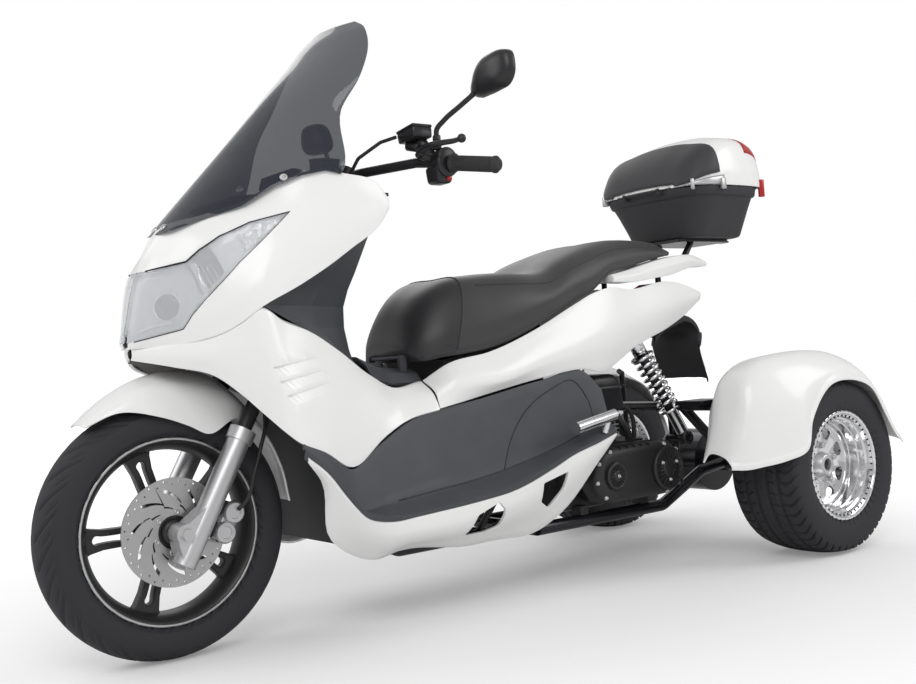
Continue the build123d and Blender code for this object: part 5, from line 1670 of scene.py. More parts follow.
@dataclass
class RearWheels:
    """Two wide tyres on polished dished rims."""

    windows: int = 8
    nuts: int = 5
    nut_circle: float = 0.050
    window: Pairs = ((68, 0), (70, 9), (78, 15), (90, 19), (96, 14), (98, 0), (96, -14), (90, -19),
                     (78, -15), (70, -9))
    hub: Pairs = ((15, 14), (33, 14), (33, 26), (30, 30), (27, 42), (24, 44.5), (15.5, 44.5),
                  (15, 14))
    nut: Pairs = ((0, -1), (11, -1), (11, 1), (8.6, 3.4), (8.6, 13), (7.6, 15), (4, 15.6),
                  (0, 15.6))
    dish: Pairs = ((141.3, 94.2), (141.0, 91.3), (137, 91.0), (130.4, 90.4), (129.6, 84), (124, 70),
                   (122, 40), (122, -40), (124, -70), (129.6, -84), (130.4, -90.4), (137, -91),
                   (141.0, -91.3), (141.3, -94.2), (139.6, -95), (133, -94), (124, -84), (116, -60),
                   (114, 0), (113, 12), (108, 14.5), (32, 14.5), (32, 21.5), (104, 21.5), (108, 23),
                   (110, 27), (110.5, 34), (113.5, 36), (114, 58), (117.5, 60), (118.5, 76),
                   (124, 79), (126, 88), (133, 91.5), (134, 94), (139.6, 95), (141.3, 94.2))

    def build(self) -> list[Piece]:
        """Make both wheels."""
        made = []
        for name, side in SIDES:
            centre = Vector((X_REAR, side * REAR_HALF_TRACK, REAR_TYRE_R))
            body = f"rear_wheel_{name}"
            tyre = REAR_TREAD.build(f"tyre_rear_{name}", centre)
            made.append(finish_piece(tyre, body, Finish.TYRE, (f"rear_tyre_{name}",)))
            wheel = placed(centre, Vector((0, side, 0)))
            bm = bmesh.new()
            add_turned_mm(bm, self.dish, wheel, 128)
            rim = new_object(f"rim_rear_{name}", bm)
            cuts = bmesh.new()
            for k in range(self.windows):
                turn = wheel @ Matrix.Rotation(math.tau * (k + 0.5) / self.windows, 4, "Z")
                add_plate(cuts, (in_metres(soft_loop(self.window, 3)),), 0.030,
                          turn @ Matrix.Translation((0, 0, 0.003)), 0)
            carve(rim, cuts)
            rounded(rim, 0.0011, 40, 2)
            made.append(finish_piece(rim, body, Finish.POLISHED, (f"rear_rim_{name}",)))
            made.append(self._hub(name, body, wheel))
        return made

    def _hub(self, name: str, body: str, wheel: Matrix) -> Piece:
        """Hub with its cap and wheel nuts."""
        bm = bmesh.new()
        add_turned_mm(bm, self.hub, wheel, 40)
        for k in range(self.nuts):
            x, y = polar(self.nut_circle, 360 / self.nuts * k + 18)
            nut = placed(wheel @ Vector((x, y, 0.0212)), wheel.to_3x3() @ UP)
            add_turned_mm(bm, self.nut, nut, 6)
        piece = new_object(f"hub_rear_{name}", bm)
        rounded(piece, 0.0006, 40, 2)
        return finish_piece(piece, body, Finish.CAST)


# ---------------------------------------------------------------- fenders


def resample(line: Sequence[Vector], marks: Sequence[float], rest: int) -> list[Vector]:
    """Points of a line at fixed distances from its start, then evenly to its end.

    Args:
        line: Closely spaced points.
        marks: Distances from the start, rising.
        rest: How many more points follow up to the end.
    """
    lengths = [0.0]
    for before, after in zip(line, line[1:]):
        lengths.append(lengths[-1] + (after - before).length)
    total = lengths[-1]
    wanted = list(marks) + [marks[-1] + (total - marks[-1]) * k / rest for k in range(1, rest + 1)]
    out, i = [], 0
    for distance in wanted:
        while i < len(line) - 2 and lengths[i + 1] < distance:
            i += 1
        share = (distance - lengths[i]) / ((lengths[i + 1] - lengths[i]) or 1e-9)
        out.append(line[i].lerp(line[i + 1], max(0.0, min(1.0, share))))
    return out


def net_normal(net: Net, i: int, j: int) -> Vector:
    """Unit normal of a net at one of its points."""
    rows, columns = len(net) - 1, len(net[0]) - 1
    along = net[min(i + 1, rows)][j] - net[max(i - 1, 0)][j]
    across = net[i][min(j + 1, columns)] - net[i][max(j - 1, 0)]
    return along.cross(across).normalized()


def lifted(net: Net, rows: tuple[int, int], columns: tuple[int, int],
           lift: float, soft: int, centre: Vector) -> Net:
    """Part of a net, raised off the surface and eased down at its borders.

    Args:
        net: The net.
        rows: First and last row of the part.
        columns: First and last column.
        lift: Height over the surface, away from the centre.
        soft: Points over which the height fades at each border.
        centre: A point inside the body.
    """
    out = []
    for i in range(rows[0], rows[1] + 1):
        line = []
        for j in range(columns[0], columns[1] + 1):
            normal = net_normal(net, i, j)
            if normal.dot(net[i][j] - centre) < 0:
                normal = -normal
            inset = min(i - rows[0], rows[1] - i, j - columns[0], columns[1] - j)
            share = min(1.0, (inset + 0.5) / (soft + 0.5)) if soft else 1.0
            line.append(net[i][j] + normal * lift * math.sqrt(1 - (1 - share) ** 2))
        out.append(line)
    return out


def skin_piece(name: str, net: Net, wall: float, centre: Vector,
               lined: bool = False) -> Piece:
    """Turn a net into a walled skin whose outer face looks away from the centre.

    Args:
        name: Name of the piece.
        net: Its points.
        wall: Thickness, added inwards.
        centre: A point inside.
        lined: Whether its inner side takes the second material.
    """
    bm = grid(net)
    bmesh.ops.remove_doubles(bm, verts=bm.verts, dist=WELD)
    bmesh.ops.recalc_face_normals(bm, faces=bm.faces)
    score = sum(f.normal.dot(f.calc_center_median() - centre) * f.calc_area() for f in bm.faces)
    if score < 0:
        bmesh.ops.reverse_faces(bm, faces=bm.faces)
    piece = new_object(name, bm)
    thicken(piece, wall)
    if lined:
        piece.modifiers["wall"].material_offset = 1
    bake_modifiers(piece)
    return piece


@dataclass
class Fenders:
    """Front fender on the fork and the two bulged rear fenders."""

    front_rows: tuple[tuple[float, ...], ...] = (
        (54, 286, 30, 283, 42, 279), (68, 298, 52, 284, 62, 268), (84, 316, 60, 292, 74, 236),
        (100, 330, 62, 298, 77, 214), (112, 330, 62, 298, 77, 206), (124, 312, 60, 292, 70, 262),
        (140, 290, 50, 284, 60, 274), (158, 280, 46, 276, 54, 270), (174, 278, 42, 274, 50, 268))
    rear_rows: Rows = (
        (1268, ((430, 256), (425, 275), (400, 290), (362, 292), (344, 272))),
        (1300, ((455, 254), (452, 330), (420, 380), (368, 385), (336, 330))),
        (1335, ((472, 258), (472, 380), (430, 470), (366, 476), (322, 400))),
        (1400, ((499, 268), (496, 430), (440, 512), (364, 510), (304, 448))),
        (1455, ((516, 286), (510, 440), (450, 522), (364, 518), (294, 470))),
        (1485, ((516, 360), (512, 452), (455, 525), (364, 520), (290, 480))),
        (1571, ((517, 442), (514, 470), (460, 528), (364, 522), (288, 488))),
        (1659, ((517, 449), (514, 468), (460, 520), (366, 512), (288, 478))),
        (1746, ((517, 422), (514, 442), (462, 486), (370, 480), (288, 446))),
        (1807, ((516, 345), (512, 385), (462, 425), (372, 420), (292, 386))),
        (1848, ((514, 293), (510, 325), (464, 362), (376, 358), (300, 326))),
        (1908, ((500, 262), (496, 270), (464, 282), (388, 280), (336, 262))))
    bolts: tuple[Point, ...] = ((1524, 300, 489), (1590, 400, 487), (1297, 440, 323))
    lip: float = 0.0042

    def build(self) -> list[Piece]:
        """Make all the pieces."""
        made = [self._front()]
        for name, side in SIDES:
            made += self._rear(name, side)
        return made

    def _front(self) -> Piece:
        """Front fender, with a crease that fades rearward."""
        rows = []
        for degrees, crown_r, mid_y, mid_r, edge_y, edge_r in self.front_rows:
            out = Vector((math.cos(math.radians(degrees)), 0, math.sin(math.radians(degrees)))) * MM
            half = [(edge_y, edge_r), ((edge_y + mid_y) / 2 + 2, (edge_r + mid_r) / 2),
                    (mid_y, mid_r), (mid_y * 0.55, mid_r + (crown_r - mid_r) * 0.66), (0, crown_r)]
            line = half + [(-y, r) for y, r in half[-2::-1]]
            rows.append([FRONT_CENTRE + out * r + Vector((0, y * MM, 0)) for y, r in line])
        piece = skin_piece("fender_front", smooth_rows(rows, 8, 5), SKIN_WALL, FRONT_CENTRE, True)
        rounded(piece, 0.0015, RIM_ANGLE)
        finish_piece(piece, "steering", Finish.WHITE, ("front_fender",))
        piece.data.materials.append(Finish.DARK_GREY.material())
        return piece

    def _rear(self, name: str, side: int) -> list[Piece]:
        """One rear fender with its raised lip and bolts."""
        coarse = [[place(b, side * y, z) for y, z in points] for b, points in self.rear_rows]
        fine = smooth_rows(coarse, 8, 12)
        marks = [0.0, 0.001, 0.003, 0.006, 0.010, 0.012, 0.014, 0.017, 0.021, 0.028]
        net = [resample(row, marks, 30) for row in fine]
        centre = place(1600, side * 400, 250)
        raised = []
        for i, row in enumerate(net):
            line = []
            for j, point in enumerate(row):
                distance = marks[j] if j < len(marks) else 1.0
                push = self.lip * window(distance, -0.004, 0.002, 0.011, 0.0175)
                line.append(point + Vector((0, side * push, 0)))
            raised.append(line)
        piece = skin_piece(f"fender_rear_{name}", raised, SKIN_WALL, centre, True)
        bolts = bmesh.new()
        for behind, y, z in self.bolts:
            _, where, outward, _ = piece.closest_point_on_mesh(place(behind, side * y, z))
            add_turned_mm(bolts, ((0, -3), (11, -3), (11, 0.6), (9, 1.4), (8, 1.4), (6.5, 4.2),
                                  (3, 5.6), (0, 6)), placed(where, outward), 20)
        rounded(piece, 0.0013, RIM_ANGLE)
        finish_piece(piece, "chassis", Finish.WHITE, (f"rear_fender_{name}",))
        piece.data.materials.append(Finish.BROWN_BLACK.material())
        heads = finished(f"fender_bolts_{name}", bolts, "chassis", Finish.STEEL)
        return [piece, heads]


# ---------------------------------------------------------------- top case


def rounded_ring(z: float, middle: float, length: float, width: float, corner: float,
                 steps: int = 10) -> list[Vector]:
    """Rounded rectangle lying flat, its middle at a station behind the front axle."""
    out = []
    for quarter, (sx, sy) in enumerate(((1, 1), (-1, 1), (-1, -1), (1, -1))):
        cx, cy = sx * (length / 2 - corner), sy * (width / 2 - corner)
        for k in range(steps + 1):
            turn = math.radians(90 * (quarter + k / steps))
            out.append(place(middle - cx - corner * math.cos(turn), cy + corner * math.sin(turn),
                             z))
    return out


def stacked(rings: Net) -> Mesh:
    """Closed body through rings of equally many points, capped at both ends."""
    bm = bmesh.new()
    made = [[bm.verts.new(p) for p in ring] for ring in rings]
    count = len(made[0])
    for low, high in zip(made, made[1:]):
        for k in range(count):
            bm.faces.new((low[k], low[(k + 1) % count], high[(k + 1) % count], high[k]))
    bm.faces.new(made[0][::-1])
    bm.faces.new(made[-1])
    bmesh.ops.recalc_face_normals(bm, faces=bm.faces)
    return bm


@dataclass
class TopCase:
    """Luggage case: hollow base, domed lid, backrest pad, trim strips, latches and reflector."""

    dome: Rows = (
        (1489, ((104, 1004), (104, 1005), (80, 1006), (40, 1007), (0, 1007))),
        (1496, ((146, 1004), (146, 1010), (122, 1024), (62, 1031), (0, 1034))),
        (1513, ((172, 1004), (172, 1024), (148, 1054), (78, 1066), (0, 1070))),
        (1542, ((190, 1004), (190, 1040), (170, 1082), (92, 1101), (0, 1106))),
        (1584, ((199, 1004), (199, 1054), (182, 1106), (98, 1131), (0, 1138))),
        (1634, ((202, 1004), (202, 1064), (186, 1122), (100, 1151), (0, 1159))),
        (1690, ((202, 1004), (201, 1068), (184, 1126), (98, 1158), (0, 1166))),
        (1736, ((199, 1004), (197, 1066), (178, 1122), (92, 1150), (0, 1158))),
        (1770, ((191, 1004), (188, 1060), (168, 1110), (84, 1135), (0, 1142))),
        (1792, ((175, 1004), (171, 1046), (150, 1086), (76, 1102), (0, 1106))),
        (1802, ((150, 1004), (146, 1030), (124, 1052), (60, 1062), (0, 1064))),
        (1808, ((112, 1004), (108, 1006), (84, 1008), (40, 1009), (0, 1009))))
    base: tuple[tuple[float, ...], ...] = (
        (867, 1660, 208, 240, 42), (869, 1660, 224, 256, 48), (874, 1660, 232, 264, 50),
        (905, 1658, 250, 294, 62), (950, 1654, 274, 338, 76), (974, 1651, 288, 364, 84),
        (977, 1651, 289, 366, 84), (979, 1651, 300, 382, 90), (982, 1651, 303, 386, 91),
        (999, 1648, 310, 396, 94), (1002, 1648, 309, 395, 93), (1003, 1648, 306, 392, 92),
        (1003, 1648, 300, 386, 90), (980, 1650, 284, 364, 84), (950, 1654, 266, 330, 72),
        (905, 1658, 242, 286, 58), (873, 1660, 224, 256, 46))
    hinge: tuple[float, float] = (1478, 1003)
    pad_part: tuple[tuple[int, int], ...] = ((2, 24), (4, 44))
    band_part: tuple[tuple[int, int], ...] = ((38, 52), (9, 39))
    strip_rows: tuple[int, int] = (6, 26)
    strip_columns: tuple[tuple[str, tuple[int, int]], ...] = (("left", (0, 3)), ("right", (45, 48)))

    def build(self) -> list[Piece]:
        """Make all the pieces."""
        net = smooth_rows([both_halves([place(behind, y, z) for y, z in points])
                           for behind, points in self.dome], 6, 6)
        centre = place(1650, 0, 1040)
        lid = skin_piece("case_dome", net, SKIN_WALL, centre, True)
        rounded(lid, PANEL_EDGE, RIM_ANGLE)
        finish_piece(lid, "case_lid", Finish.WHITE, ("case_lid",))
        lid.data.materials.append(Finish.TEXTURED.material())
        return [lid, self._pad(net, centre), self._base(), *self._trim(net, centre)]

    def _pad(self, net: Net, centre: Vector) -> Piece:
        """Backrest pad wrapped round the front of the dome."""
        puffed = lifted(net, *self.pad_part, 0.0075, 3, centre)
        piece = skin_piece("case_pad", puffed, 0.006, centre)
        rounded(piece, 0.001, RIM_ANGLE)
        finish_piece(piece, "case_lid", Finish.VINYL)
        return piece

    def _base(self) -> Piece:
        """Hollow lower half with a flared lip, hinge ears and a release lever."""
        bm = stacked([rounded_ring(*row) for row in self.base])
        behind, z = self.hinge
        for side in (1, -1):
            add_block(bm, (0.026, 0.008, 0.010), shifted(behind + 10, side * 64.5, z - 7), 0.001)
            add_rod(bm, place(behind, side * 61, z), place(behind, side * 68.5, z), 0.006)
        add_rod(bm, place(behind, -64, z), place(behind, 64, z), 0.0038)
        add_block(bm, (0.070, 0.030, 0.006), shifted(1752, 40, 862.5), 0.002)
        piece = new_object("case_tub", bm)
        rounded(piece, 0.001, 40)
        return finish_piece(piece, "chassis", Finish.TEXTURED, ("case_base",))

    def _trim(self, net: Net, centre: Vector) -> list[Piece]:
        """Bright strips with clips, red latches and the red band at the back."""
        strips = []
        for name, columns in self.strip_columns:
            raised = lifted(net, self.strip_rows, columns, 0.004, 1, centre)
            strips.append(skin_piece(f"case_strip_{name}", raised, 0.003, centre))
        clips = bmesh.new()
        latches = bmesh.new()
        for side in (1, -1):
            for behind, y in ((1507, 169), (1592, 205)):
                turn = Matrix.Rotation(side * (0.55 if y < 200 else 0.02), 4, "Z")
                add_block(clips, (0.018, 0.010, 0.030), shifted(behind, side * y, 1006) @ turn,
                          0.002)
            turn = Matrix.Rotation(side * -0.42, 4, "Z")
            add_block(latches, (0.017, 0.009, 0.050), shifted(1778, side * 190, 1001) @ turn, 0.002)
        raised = lifted(net, *self.band_part, 0.0022, 1, centre)
        band = skin_piece("case_reflector", raised, 0.002, centre)
        made = [finish_piece(strip, "case_lid", Finish.CAST) for strip in strips]
        made.append(finished("case_clips", clips, "case_lid", Finish.STEEL))
        made.append(finished("case_latches", latches, "case_lid", Finish.RED))
        made.append(finish_piece(band, "case_lid", Finish.RED))
        return made


# ---------------------------------------------------------------- controls


@dataclass
class Controls:
    """Mirrors, levers, switch housings, master cylinders and grips."""

    head: Loop = ((-66, -28), (-54, -39), (-20, -41), (20, -38), (50, -32), (66, -14), (69, 12),
                  (62, 34), (42, 43), (10, 43), (-22, 37), (-46, 20), (-60, -4))
    shells: Pairs = ((-13, 0.90), (-16, 0.92), (-16.5, 0.96), (-15, 1.0), (-8, 1.0), (0, 0.975),
                     (7, 0.90), (12, 0.74), (15, 0.50), (16.5, 0.24))
    centre: Point = (638, 370, 1177)
    grip_inner: Point = (602, 250, 1004)
    grip_end: Point = (636, 372, 981)
    stem: tuple[Point, ...] = (
        (592, 228, 1062), (592, 230, 1080), (600, 248, 1098), (620, 290, 1126), (636, 318, 1148),
        (640, 330, 1160))
    lever: tuple[Point, ...] = (
        (556, 206, 1026), (550, 222, 1032), (548, 254, 1037), (558, 292, 1038), (574, 318, 1039),
        (582, 330, 1042))

    def build(self) -> list[Piece]:
        """Make all the pieces."""
        return [self._mirrors(), self._glass(), self._grips(), self._hands(), self._buttons()]

    def _ring(self, forward: float, scale: float, side: int) -> list[Vector]:
        """Outline of the mirror head, scaled, at a depth ahead of its middle."""
        behind, y, z = self.centre
        return [place(behind - forward, side * (y + u * scale), z + v * scale + (1 - scale) * 2)
                for u, v in soft_loop([(u, v) for u, v in self.head], 3)]

    def _neck(self, share: float) -> float:
        """Radius of a mirror's stem, which swells where it meets the shell."""
        return 0.0058 + 0.010 * max(0.0, (share - 0.72) / 0.28) ** 1.5

    def _mirrors(self) -> Piece:
        """Mirror shells on their stems."""
        bm = bmesh.new()
        for side in (1, -1):
            join(bm, stacked([self._ring(forward, scale, side) for forward, scale in self.shells]))
            stem = spline([place(b, side * y, z) for b, y, z in self.stem], 6)
            add_tube(bm, stem, self._neck, 16)
            foot = place(592, side * 228, 1036)
            add_turned_mm(bm, ((0, 0), (10, 0), (11, 1), (11, 14), (8.5, 17), (8.5, 20), (10, 21),
                               (10, 30), (6, 34), (0, 34)), Matrix.Translation(foot), 6)
        outwards(bm)
        piece = new_object("mirror_shells", bm)
        rounded(piece, 0.0008, 45)
        return finish_piece(piece, "steering", Finish.SATIN_BLACK, ("mirrors",))

    def _glass(self) -> Piece:
        """Mirror glasses, facing the rider."""
        bm = bmesh.new()
        for side in (1, -1):
            join(bm, stacked([self._ring(-12.6, 0.88, side), self._ring(-14.4, 0.885, side),
                              self._ring(-14.8, 0.87, side)]))
        return finish_piece(new_object("mirror_glasses", bm, False), "steering", Finish.MIRROR)

    def _grips(self) -> Piece:
        """Ribbed rubber grips with end caps."""
        bm = bmesh.new()
        for side in (1, -1):
            inner, end = to_side(self.grip_inner, side), to_side(self.grip_end, side)
            length = (end - inner).length / MM
            profile = [(11.4, 14), (21, 14), (21.5, 16), (21.5, 19), (17.4, 21)]
            for k in range(int((length - 30) / 4)):
                start = 23 + 4 * k
                profile += [(17.2, start), (17.2, start + 2.2), (16.2, start + 2.7),
                            (16.2, start + 3.5)]
            profile += [(17.4, length - 4), (18.8, length - 2), (18.8, length + 2),
                        (15, length + 4), (13.5, length + 9), (9, length + 12), (0, length + 12.5),
                        (0, 14), (11.4, 14)]
            add_turned_mm(bm, profile, placed(inner, end - inner), 32)
        return finished("grip_rubbers", bm, "steering", Finish.SOFT, ("grips",))

    def _hands(self) -> Piece:
        """Switch housings, levers with ball ends and fluid reservoirs."""
        bm = bmesh.new()
        for side in (1, -1):
            axis = Vector((0, side, 0))
            middle = place(600, side * 232, 1006)
            squash = Matrix.Diagonal((1.0, 1.14, 1.0, 1.0))
            add_turned_mm(bm, ((0, -26), (17, -26), (24, -21), (27, -10), (27, 8), (25, 12),
                               (25, 14), (29, 16), (29, 21), (24, 25), (12, 26), (0, 26)),
                          placed(middle, axis) @ squash, 36)
            add_block(bm, (0.040, 0.046, 0.040), shifted(596, side * 224, 980), 0.009, 1.15, 3)
            root = place(552, side * 218, 1030)
            lever = spline([place(b, side * y, z) for b, y, z in self.lever], 6)
            add_tube(bm, lever, lambda t: 0.0085 - 0.0036 * t, 14)
            ball = bmesh.new()
            bmesh.ops.create_uvsphere(ball, u_segments=18, v_segments=12, radius=0.0098,
                                      matrix=shifted(582, side * 330, 1042))
            join(bm, ball)
            add_rod(bm, root + Vector((0, 0, -0.009)), root + Vector((0, 0, 0.010)), 0.010)
            add_rod(bm, place(556, side * 214, 1028), place(594, side * 218, 1016), 0.013)
            tank = shifted(556, side * 196, 1071) @ Matrix.Rotation(side * 0.12, 4, "X")
            add_block(bm, (0.050, 0.062, 0.024), tank, 0.004, 1.05)
            add_block(bm, (0.053, 0.066, 0.007), tank @ Matrix.Translation((0, 0, 0.0145)), 0.0022)
            add_rod(bm, place(564, side * 200, 1062), place(588, side * 212, 1020), 0.014)
            add_rod(bm, place(548, side * 176, 1052), place(560, side * 204, 1044), 0.011)
            for dx in (-0.018, 0.018):
                add_bolt(bm, tank @ Vector((dx, side * 0.018, 0.0178)), UP, 0.0035, 0.0016)
        outwards(bm)
        piece = new_object("hand_units", bm)
        return finish_piece(piece, "steering", Finish.SATIN_BLACK, ("hand_controls",))

    def _buttons(self) -> Piece:
        """Red switch buttons."""
        bm = bmesh.new()
        for side in (1, -1):
            add_block(bm, (0.012, 0.007, 0.012), shifted(604, side * 249, 971), 0.002)
        return finished("switch_buttons", bm, "steering", Finish.RED)


# ---------------------------------------------------------------- running gear


@dataclass
class Shocks:
    """Coil-over shock absorbers."""

    top: Point = (1266, 126, 604)
    foot: Point = (1398, 178, 318)
    turns: int = 8
    coil: float = 24.5
    wire: float = 5.0

    def build(self) -> list[Piece]:
        """Make the springs and the dampers."""
        springs, dampers = bmesh.new(), bmesh.new()
        for side in (1, -1):
            self._one(springs, dampers, side)
        return [finished("shock_springs", springs, "chassis", Finish.CHROME, ("shock_absorbers",)),
                finished("shock_dampers", dampers, "chassis", Finish.ENGINE)]

    def _one(self, springs: Mesh, dampers: Mesh, side: int) -> None:
        """Add the shock of one side."""
        top, foot = to_side(self.top, side), to_side(self.foot, side)
        frame = placed(foot, top - foot)
        length = (top - foot).length / MM
        start, end = 98.0, length - 70
        steps = self.turns * 20
        path = []
        for k in range(steps + 1):
            turn = math.tau * self.turns * k / steps
            height = start + (end - start) * k / steps
            path.append(frame @ (Vector((self.coil * math.cos(turn), self.coil * math.sin(turn),
                                         height)) * MM))
        add_tube(springs, path, self.wire * MM, 8)
        for seat in (start - 5, end + 2):
            add_turned_mm(springs, ((16, seat - 5), (31, seat - 5), (32.5, seat - 3.5),
                                    (32.5, seat + 0.5), (31, seat + 2), (16, seat + 2),
                                    (16, seat - 5)), frame, 32)
        add_turned_mm(springs, ((0, length - 66), (19, length - 66), (19, length - 22),
                                (15, length - 14), (0, length - 14), (0, length - 66)), frame, 24)
        add_turned_mm(springs, ((0, 12), (12, 12), (16, 20), (17.5, 22), (17.5, 84), (19.5, 86),
                                (19.5, 90), (0, 90), (0, 12)), frame, 24)
        add_rod(dampers, frame @ Vector((0, 0, 0.088)), frame @ Vector((0, 0, end * MM)), 0.0125)
        for eye in (foot, top):
            add_turned_mm(dampers, ((8.5, -13), (17, -13), (18, -12), (18, 12), (17, 13), (8.5, 13),
                                    (8.5, -13)), placed(eye, LEFT), 24)


@dataclass
class Drive:
    """Belt case with its clutch cover, cylinder fins and hoses."""

    front: float = 1112
    rear: float = 1300
    height: float = 250
    radius: float = 70
    ribs: int = 18
    face: float = 193
    fins: int = 7
    fin_pitch: float = 11
    top_ribs: int = 5
    top_rib_pitch: float = 26
    filter_rings: tuple[tuple[float, ...], ...] = (
        (408.5, 138, 138, 22), (411, 146, 146, 26), (414, 148, 148, 27), (462, 142, 142, 30),
        (463, 147, 147, 32), (471, 147, 147, 32), (472, 141, 141, 30), (490, 134, 134, 34),
        (499, 122, 122, 34), (503, 104, 104, 30))
    case_rings: Pairs = (
        (104.5, 0), (136, 0), (137, -2.5), (143, -2.5), (144, 0), (176, 1), (186, 5), (192, 14),
        (193.5, 24))
    hoses: tuple[tuple[float, tuple[Point, ...]], ...] = (
        (0.0095, ((1196, 96, 412), (1214, 104, 392), (1240, 108, 366), (1262, 100, 336),
                  (1268, 92, 318))),
        (0.0055, ((1092, 70, 392), (1100, 96, 376), (1124, 112, 350), (1140, 116, 330),
                  (1146, 116, 316))),
        (0.0060, ((1236, 80, 420), (1264, 92, 412), (1292, 90, 380), (1300, 84, 340),
                  (1302, 80, 320))))

    def _slot(self, y: float, inset: float) -> list[Vector]:
        """Slot-shaped ring at a distance from the middle plane."""
        out = []
        reach = self.radius - inset
        for centre, start in ((self.front, 90), (self.rear, 270)):
            for k in range(17):
                turn = math.radians(start + 180 * k / 16)
                out.append(place(centre + reach * math.cos(turn), y,
                                 self.height + reach * math.sin(turn)))
        return out

    def build(self) -> list[Piece]:
        """Make all the pieces."""
        return [self._case(), self._cover(), self._details(), self._hoses(), self._filter()]

    def _filter(self) -> Piece:
        """Air filter housing with a lid held by screws."""
        bm = stacked([rounded_ring(z, 1180, length, width, corner)
                      for z, length, width, corner in self.filter_rings])
        bmesh.ops.translate(bm, vec=(0, 0.040, 0), verts=bm.verts)
        for behind, y in ((1112, -24), (1248, -24), (1112, 104), (1248, 104)):
            add_bolt(bm, place(behind, y, 470), UP, 0.0045, 0.004)
        return finished("filter_housing", bm, "chassis", Finish.SATIN_BLACK, ("air_box",))

    def _case(self) -> Piece:
        """Belt case with a stepped joint and strengthening ribs."""
        bm = stacked([self._slot(y, inset) for y, inset in self.case_rings])
        for k in range(self.top_ribs):
            behind = self.front + 30 + self.top_rib_pitch * k
            add_block(bm, (0.004, 0.052, 0.006), shifted(behind, 163, self.height + 68), 0.0015)
        return finished("belt_housing", bm, "chassis", Finish.ENGINE, ("belt_case",))

    def _cover(self) -> Piece:
        """Round ribbed clutch cover and the smaller one ahead of it."""
        bm = bmesh.new()
        for behind, radius, top in ((self.rear, 56, 13), (self.front, 36, 12)):
            frame = placed(place(behind, self.face, self.height), LEFT)
            add_turned_mm(bm, ((0, -3), (radius, -3), (radius, top - 4), (radius - 3, top - 1),
                               (radius - 9, top - 1), (radius - 11, top - 5),
                               (radius * 0.42, top - 5), (radius * 0.38, top),
                               (radius * 0.30, top + 1), (0, top + 1), (0, -3)), frame, 48)
            for k in range(self.ribs):
                turn = Matrix.Rotation(math.tau * k / self.ribs, 4, "Z")
                middle = (radius - 10 + radius * 0.4) / 2 * MM
                add_block(bm, ((radius - 10 - radius * 0.4) * MM, 0.0028, 0.005),
                          frame @ turn @ Matrix.Translation((middle, 0, (top - 4) * MM)), 0.0007)
        return finished("clutch_covers", bm, "chassis", Finish.ALLOY_BLACK)

    def _details(self) -> Piece:
        """Bright bolts round the joint and the cylinder's fins."""
        bm = bmesh.new()
        ring = self._slot(0, 8)
        for k in range(1, len(ring), 4):
            add_bolt(bm, Vector((ring[k].x, 0.1870, ring[k].z)), LEFT, 0.0058, 0.006)
        for behind, radius in ((self.rear, 30), (self.front, 0)):
            for k in range(3 if radius else 1):
                turn = math.tau * k / 3 + 0.5
                where = place(behind + radius * math.cos(turn), self.face + 10,
                              self.height + radius * math.sin(turn))
                add_bolt(bm, where, LEFT, 0.0052, 0.005)
        for k in range(self.fins):
            add_block(bm, (0.196, 0.168, 0.0035), shifted(1150, 0, 334 + self.fin_pitch * k), 0.001)
        return finished("engine_details", bm, "chassis", Finish.CAST)

    def _hoses(self) -> Piece:
        """Breather and fuel hoses held at both ends."""
        bm = bmesh.new()
        for radius, points in self.hoses:
            add_tube(bm, spline([place(*p) for p in points], 8), radius, 12)
        return finished("engine_hoses", bm, "chassis", Finish.SOFT)


@dataclass
class Caliper:
    """Two-piston brake caliper on its carrier; its figures are millimetres of the leg's frame."""

    along: float = 60
    back: float = 92
    slot_radius: float = 116

    def _spot(self, along: float, forward: float, side: float) -> Vector:
        """Point from millimetres up the leg, forward of the wheel axle and to the left."""
        return steer(along, forward + AXLE_LEAD / MM, side)

    def _frame(self, along: float, forward: float, side: float) -> Matrix:
        """Local frame: X along the vehicle, Y up the leg, Z outward to the left."""
        turn = axes(STEER_Z.cross(LEFT).normalized(), STEER_Z, LEFT)
        return Matrix.Translation(self._spot(along, forward, side)) @ turn

    def build(self) -> list[Piece]:
        """Make the caliper and its carrier."""
        body = bmesh.new()
        add_block(body, (0.042, 0.084, 0.036), self._frame(self.along, -self.back, 56.5), 0.009,
                  0.94, 3)
        piece = new_object("caliper_body", body)
        cutter = bmesh.new()
        add_turned_mm(cutter, ((0, -5), (self.slot_radius, -5), (self.slot_radius, 5), (0, 5),
                               (0, -5)), placed(self._spot(0, 0, 52), LEFT), 96)
        carve(piece, cutter)
        body = bmesh.new()
        body.from_mesh(piece.data)
        for shift in (22, -22):
            add_turned_mm(body, ((0, -8), (21, -8), (23, -6), (23, 6), (20, 10), (13, 10.5),
                                 (12, 8), (0, 8), (0, -8)),
                          self._frame(self.along + shift, -self.back, 74), 32)
        body.to_mesh(piece.data)
        body.free()
        carrier = bmesh.new()
        for shift in (24, -24):
            tab = self._frame(self.along + shift, -self.back + 22, 63)
            add_block(carrier, (0.048, 0.030, 0.008), tab, 0.003)
        for shift in (40, -40):
            where = self._spot(self.along + shift, -self.back + 6, 73)
            add_bolt(carrier, where, LEFT, 0.006, 0.006)
        hose = spline([self._spot(self.along + rise, forward, side) for rise, forward, side in (
            (30, -96, 84), (56, -102, 92), (110, -92, 94), (190, -78, 92), (260, -70, 80))], 8)
        add_tube(carrier, hose, 0.0042, 10)
        return [finish_piece(piece, "steering", Finish.CAST, ("brake_caliper",)),
                finished("caliper_carrier", carrier, "steering", Finish.ENGINE)]


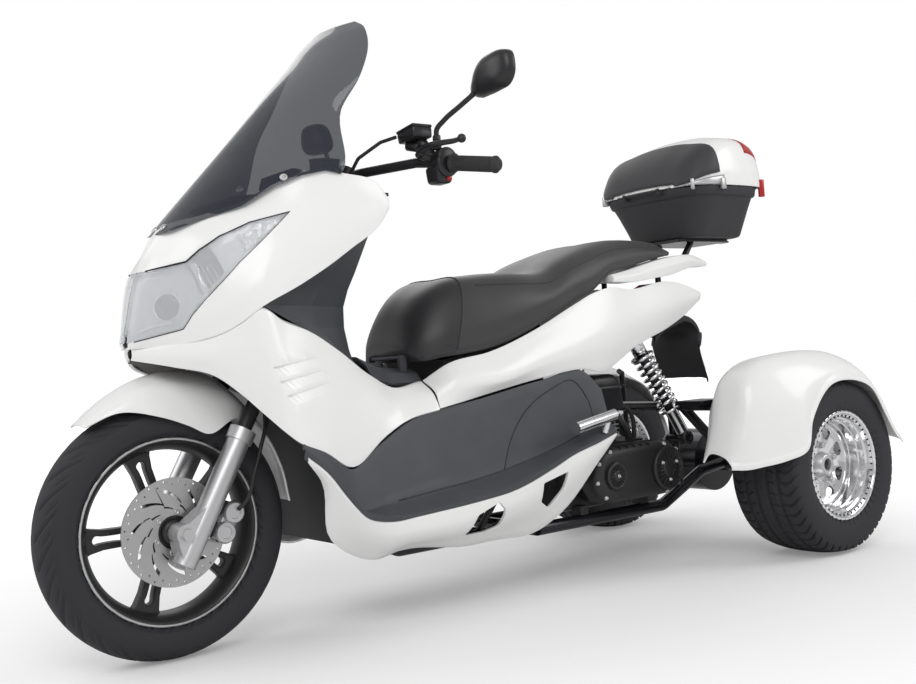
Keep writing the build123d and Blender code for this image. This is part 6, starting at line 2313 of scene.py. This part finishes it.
@dataclass
class TailEnd:
    """Tail lamp and the mudguard below it."""

    lamp: tuple[tuple[float, ...], ...] = ((1480, 98, 669, 721), (1482, 100, 668, 722),
                                           (1560, 94, 676, 716), (1600, 80, 685, 709),
                                           (1604, 76, 687, 706))
    path: Pairs = ((1404, 594), (1440, 620), (1490, 637), (1538, 648), (1572, 632), (1590, 604),
                   (1584, 574), (1588, 545), (1600, 508), (1614, 468))
    section: Pairs = ((86, -16), (87, -2), (78, 1), (40, 3), (0, 4))

    def build(self) -> list[Piece]:
        """Make all the pieces."""
        rings = []
        for behind, half, low, high in self.lamp:
            loop = soft_loop([(half, low + 6), (half, high - 6), (half - 8, high), (8 - half, high),
                              (-half, high - 6), (-half, low + 6), (8 - half, low),
                              (half - 8, low)], 3)
            rings.append([place(behind, y, z) for y, z in loop])
        lamp = finished("tail_lens", stacked(rings), "chassis", Finish.RED, ("tail_lamp",))
        rows = []
        for behind, z in self.path:
            rows.append(both_halves([place(behind, y, z + lift) for y, lift in self.section]))
        bm = grid(smooth_rows(rows, 6, 4))
        face_along(bm, 2)
        guard = new_object("mudguard_sheet", bm)
        thicken(guard, 0.006, 0.0012)
        bake_modifiers(guard)
        boss = bmesh.new()
        add_block(boss, (0.024, 0.088, 0.030), shifted(1530, 0, 657), 0.003)
        plate = bmesh.new()
        add_block(plate, (0.004, 0.110, 0.052), shifted(1606, 0, 530)
                  @ Matrix.Rotation(-0.3, 4, "Y"), 0.0015)
        finish_piece(guard, "chassis", Finish.TEXTURED, ("rear_mudguard",))
        return [lamp, guard, finished("mudguard_boss", boss, "chassis", Finish.TEXTURED),
                finished("rear_reflector", plate, "chassis", Finish.RED)]


ASSEMBLIES = (
    FrontBody, Screen, Floor, Tail, Saddle, FrontWheel, RearWheels, Fenders, TopCase, Controls,
    Shocks, Drive, Caliper, TailEnd,
)


def corners() -> list[list[float]]:
    """The whole object's box as plain numbers."""
    return [[round(float(v), 5) for v in corner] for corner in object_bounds()]


def main() -> None:
    """Build every sub-assembly in order."""
    logging.basicConfig(level=logging.INFO, format="%(name)s: %(message)s", stream=sys.stdout)
    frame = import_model()
    Studio().build()
    dress_nodes(frame["nodes"])
    for assembly in ASSEMBLIES:
        for piece in assembly().build():
            LOG.info("%s: %s", assembly.__name__, piece.name)


if __name__ == "__main__":
    main()
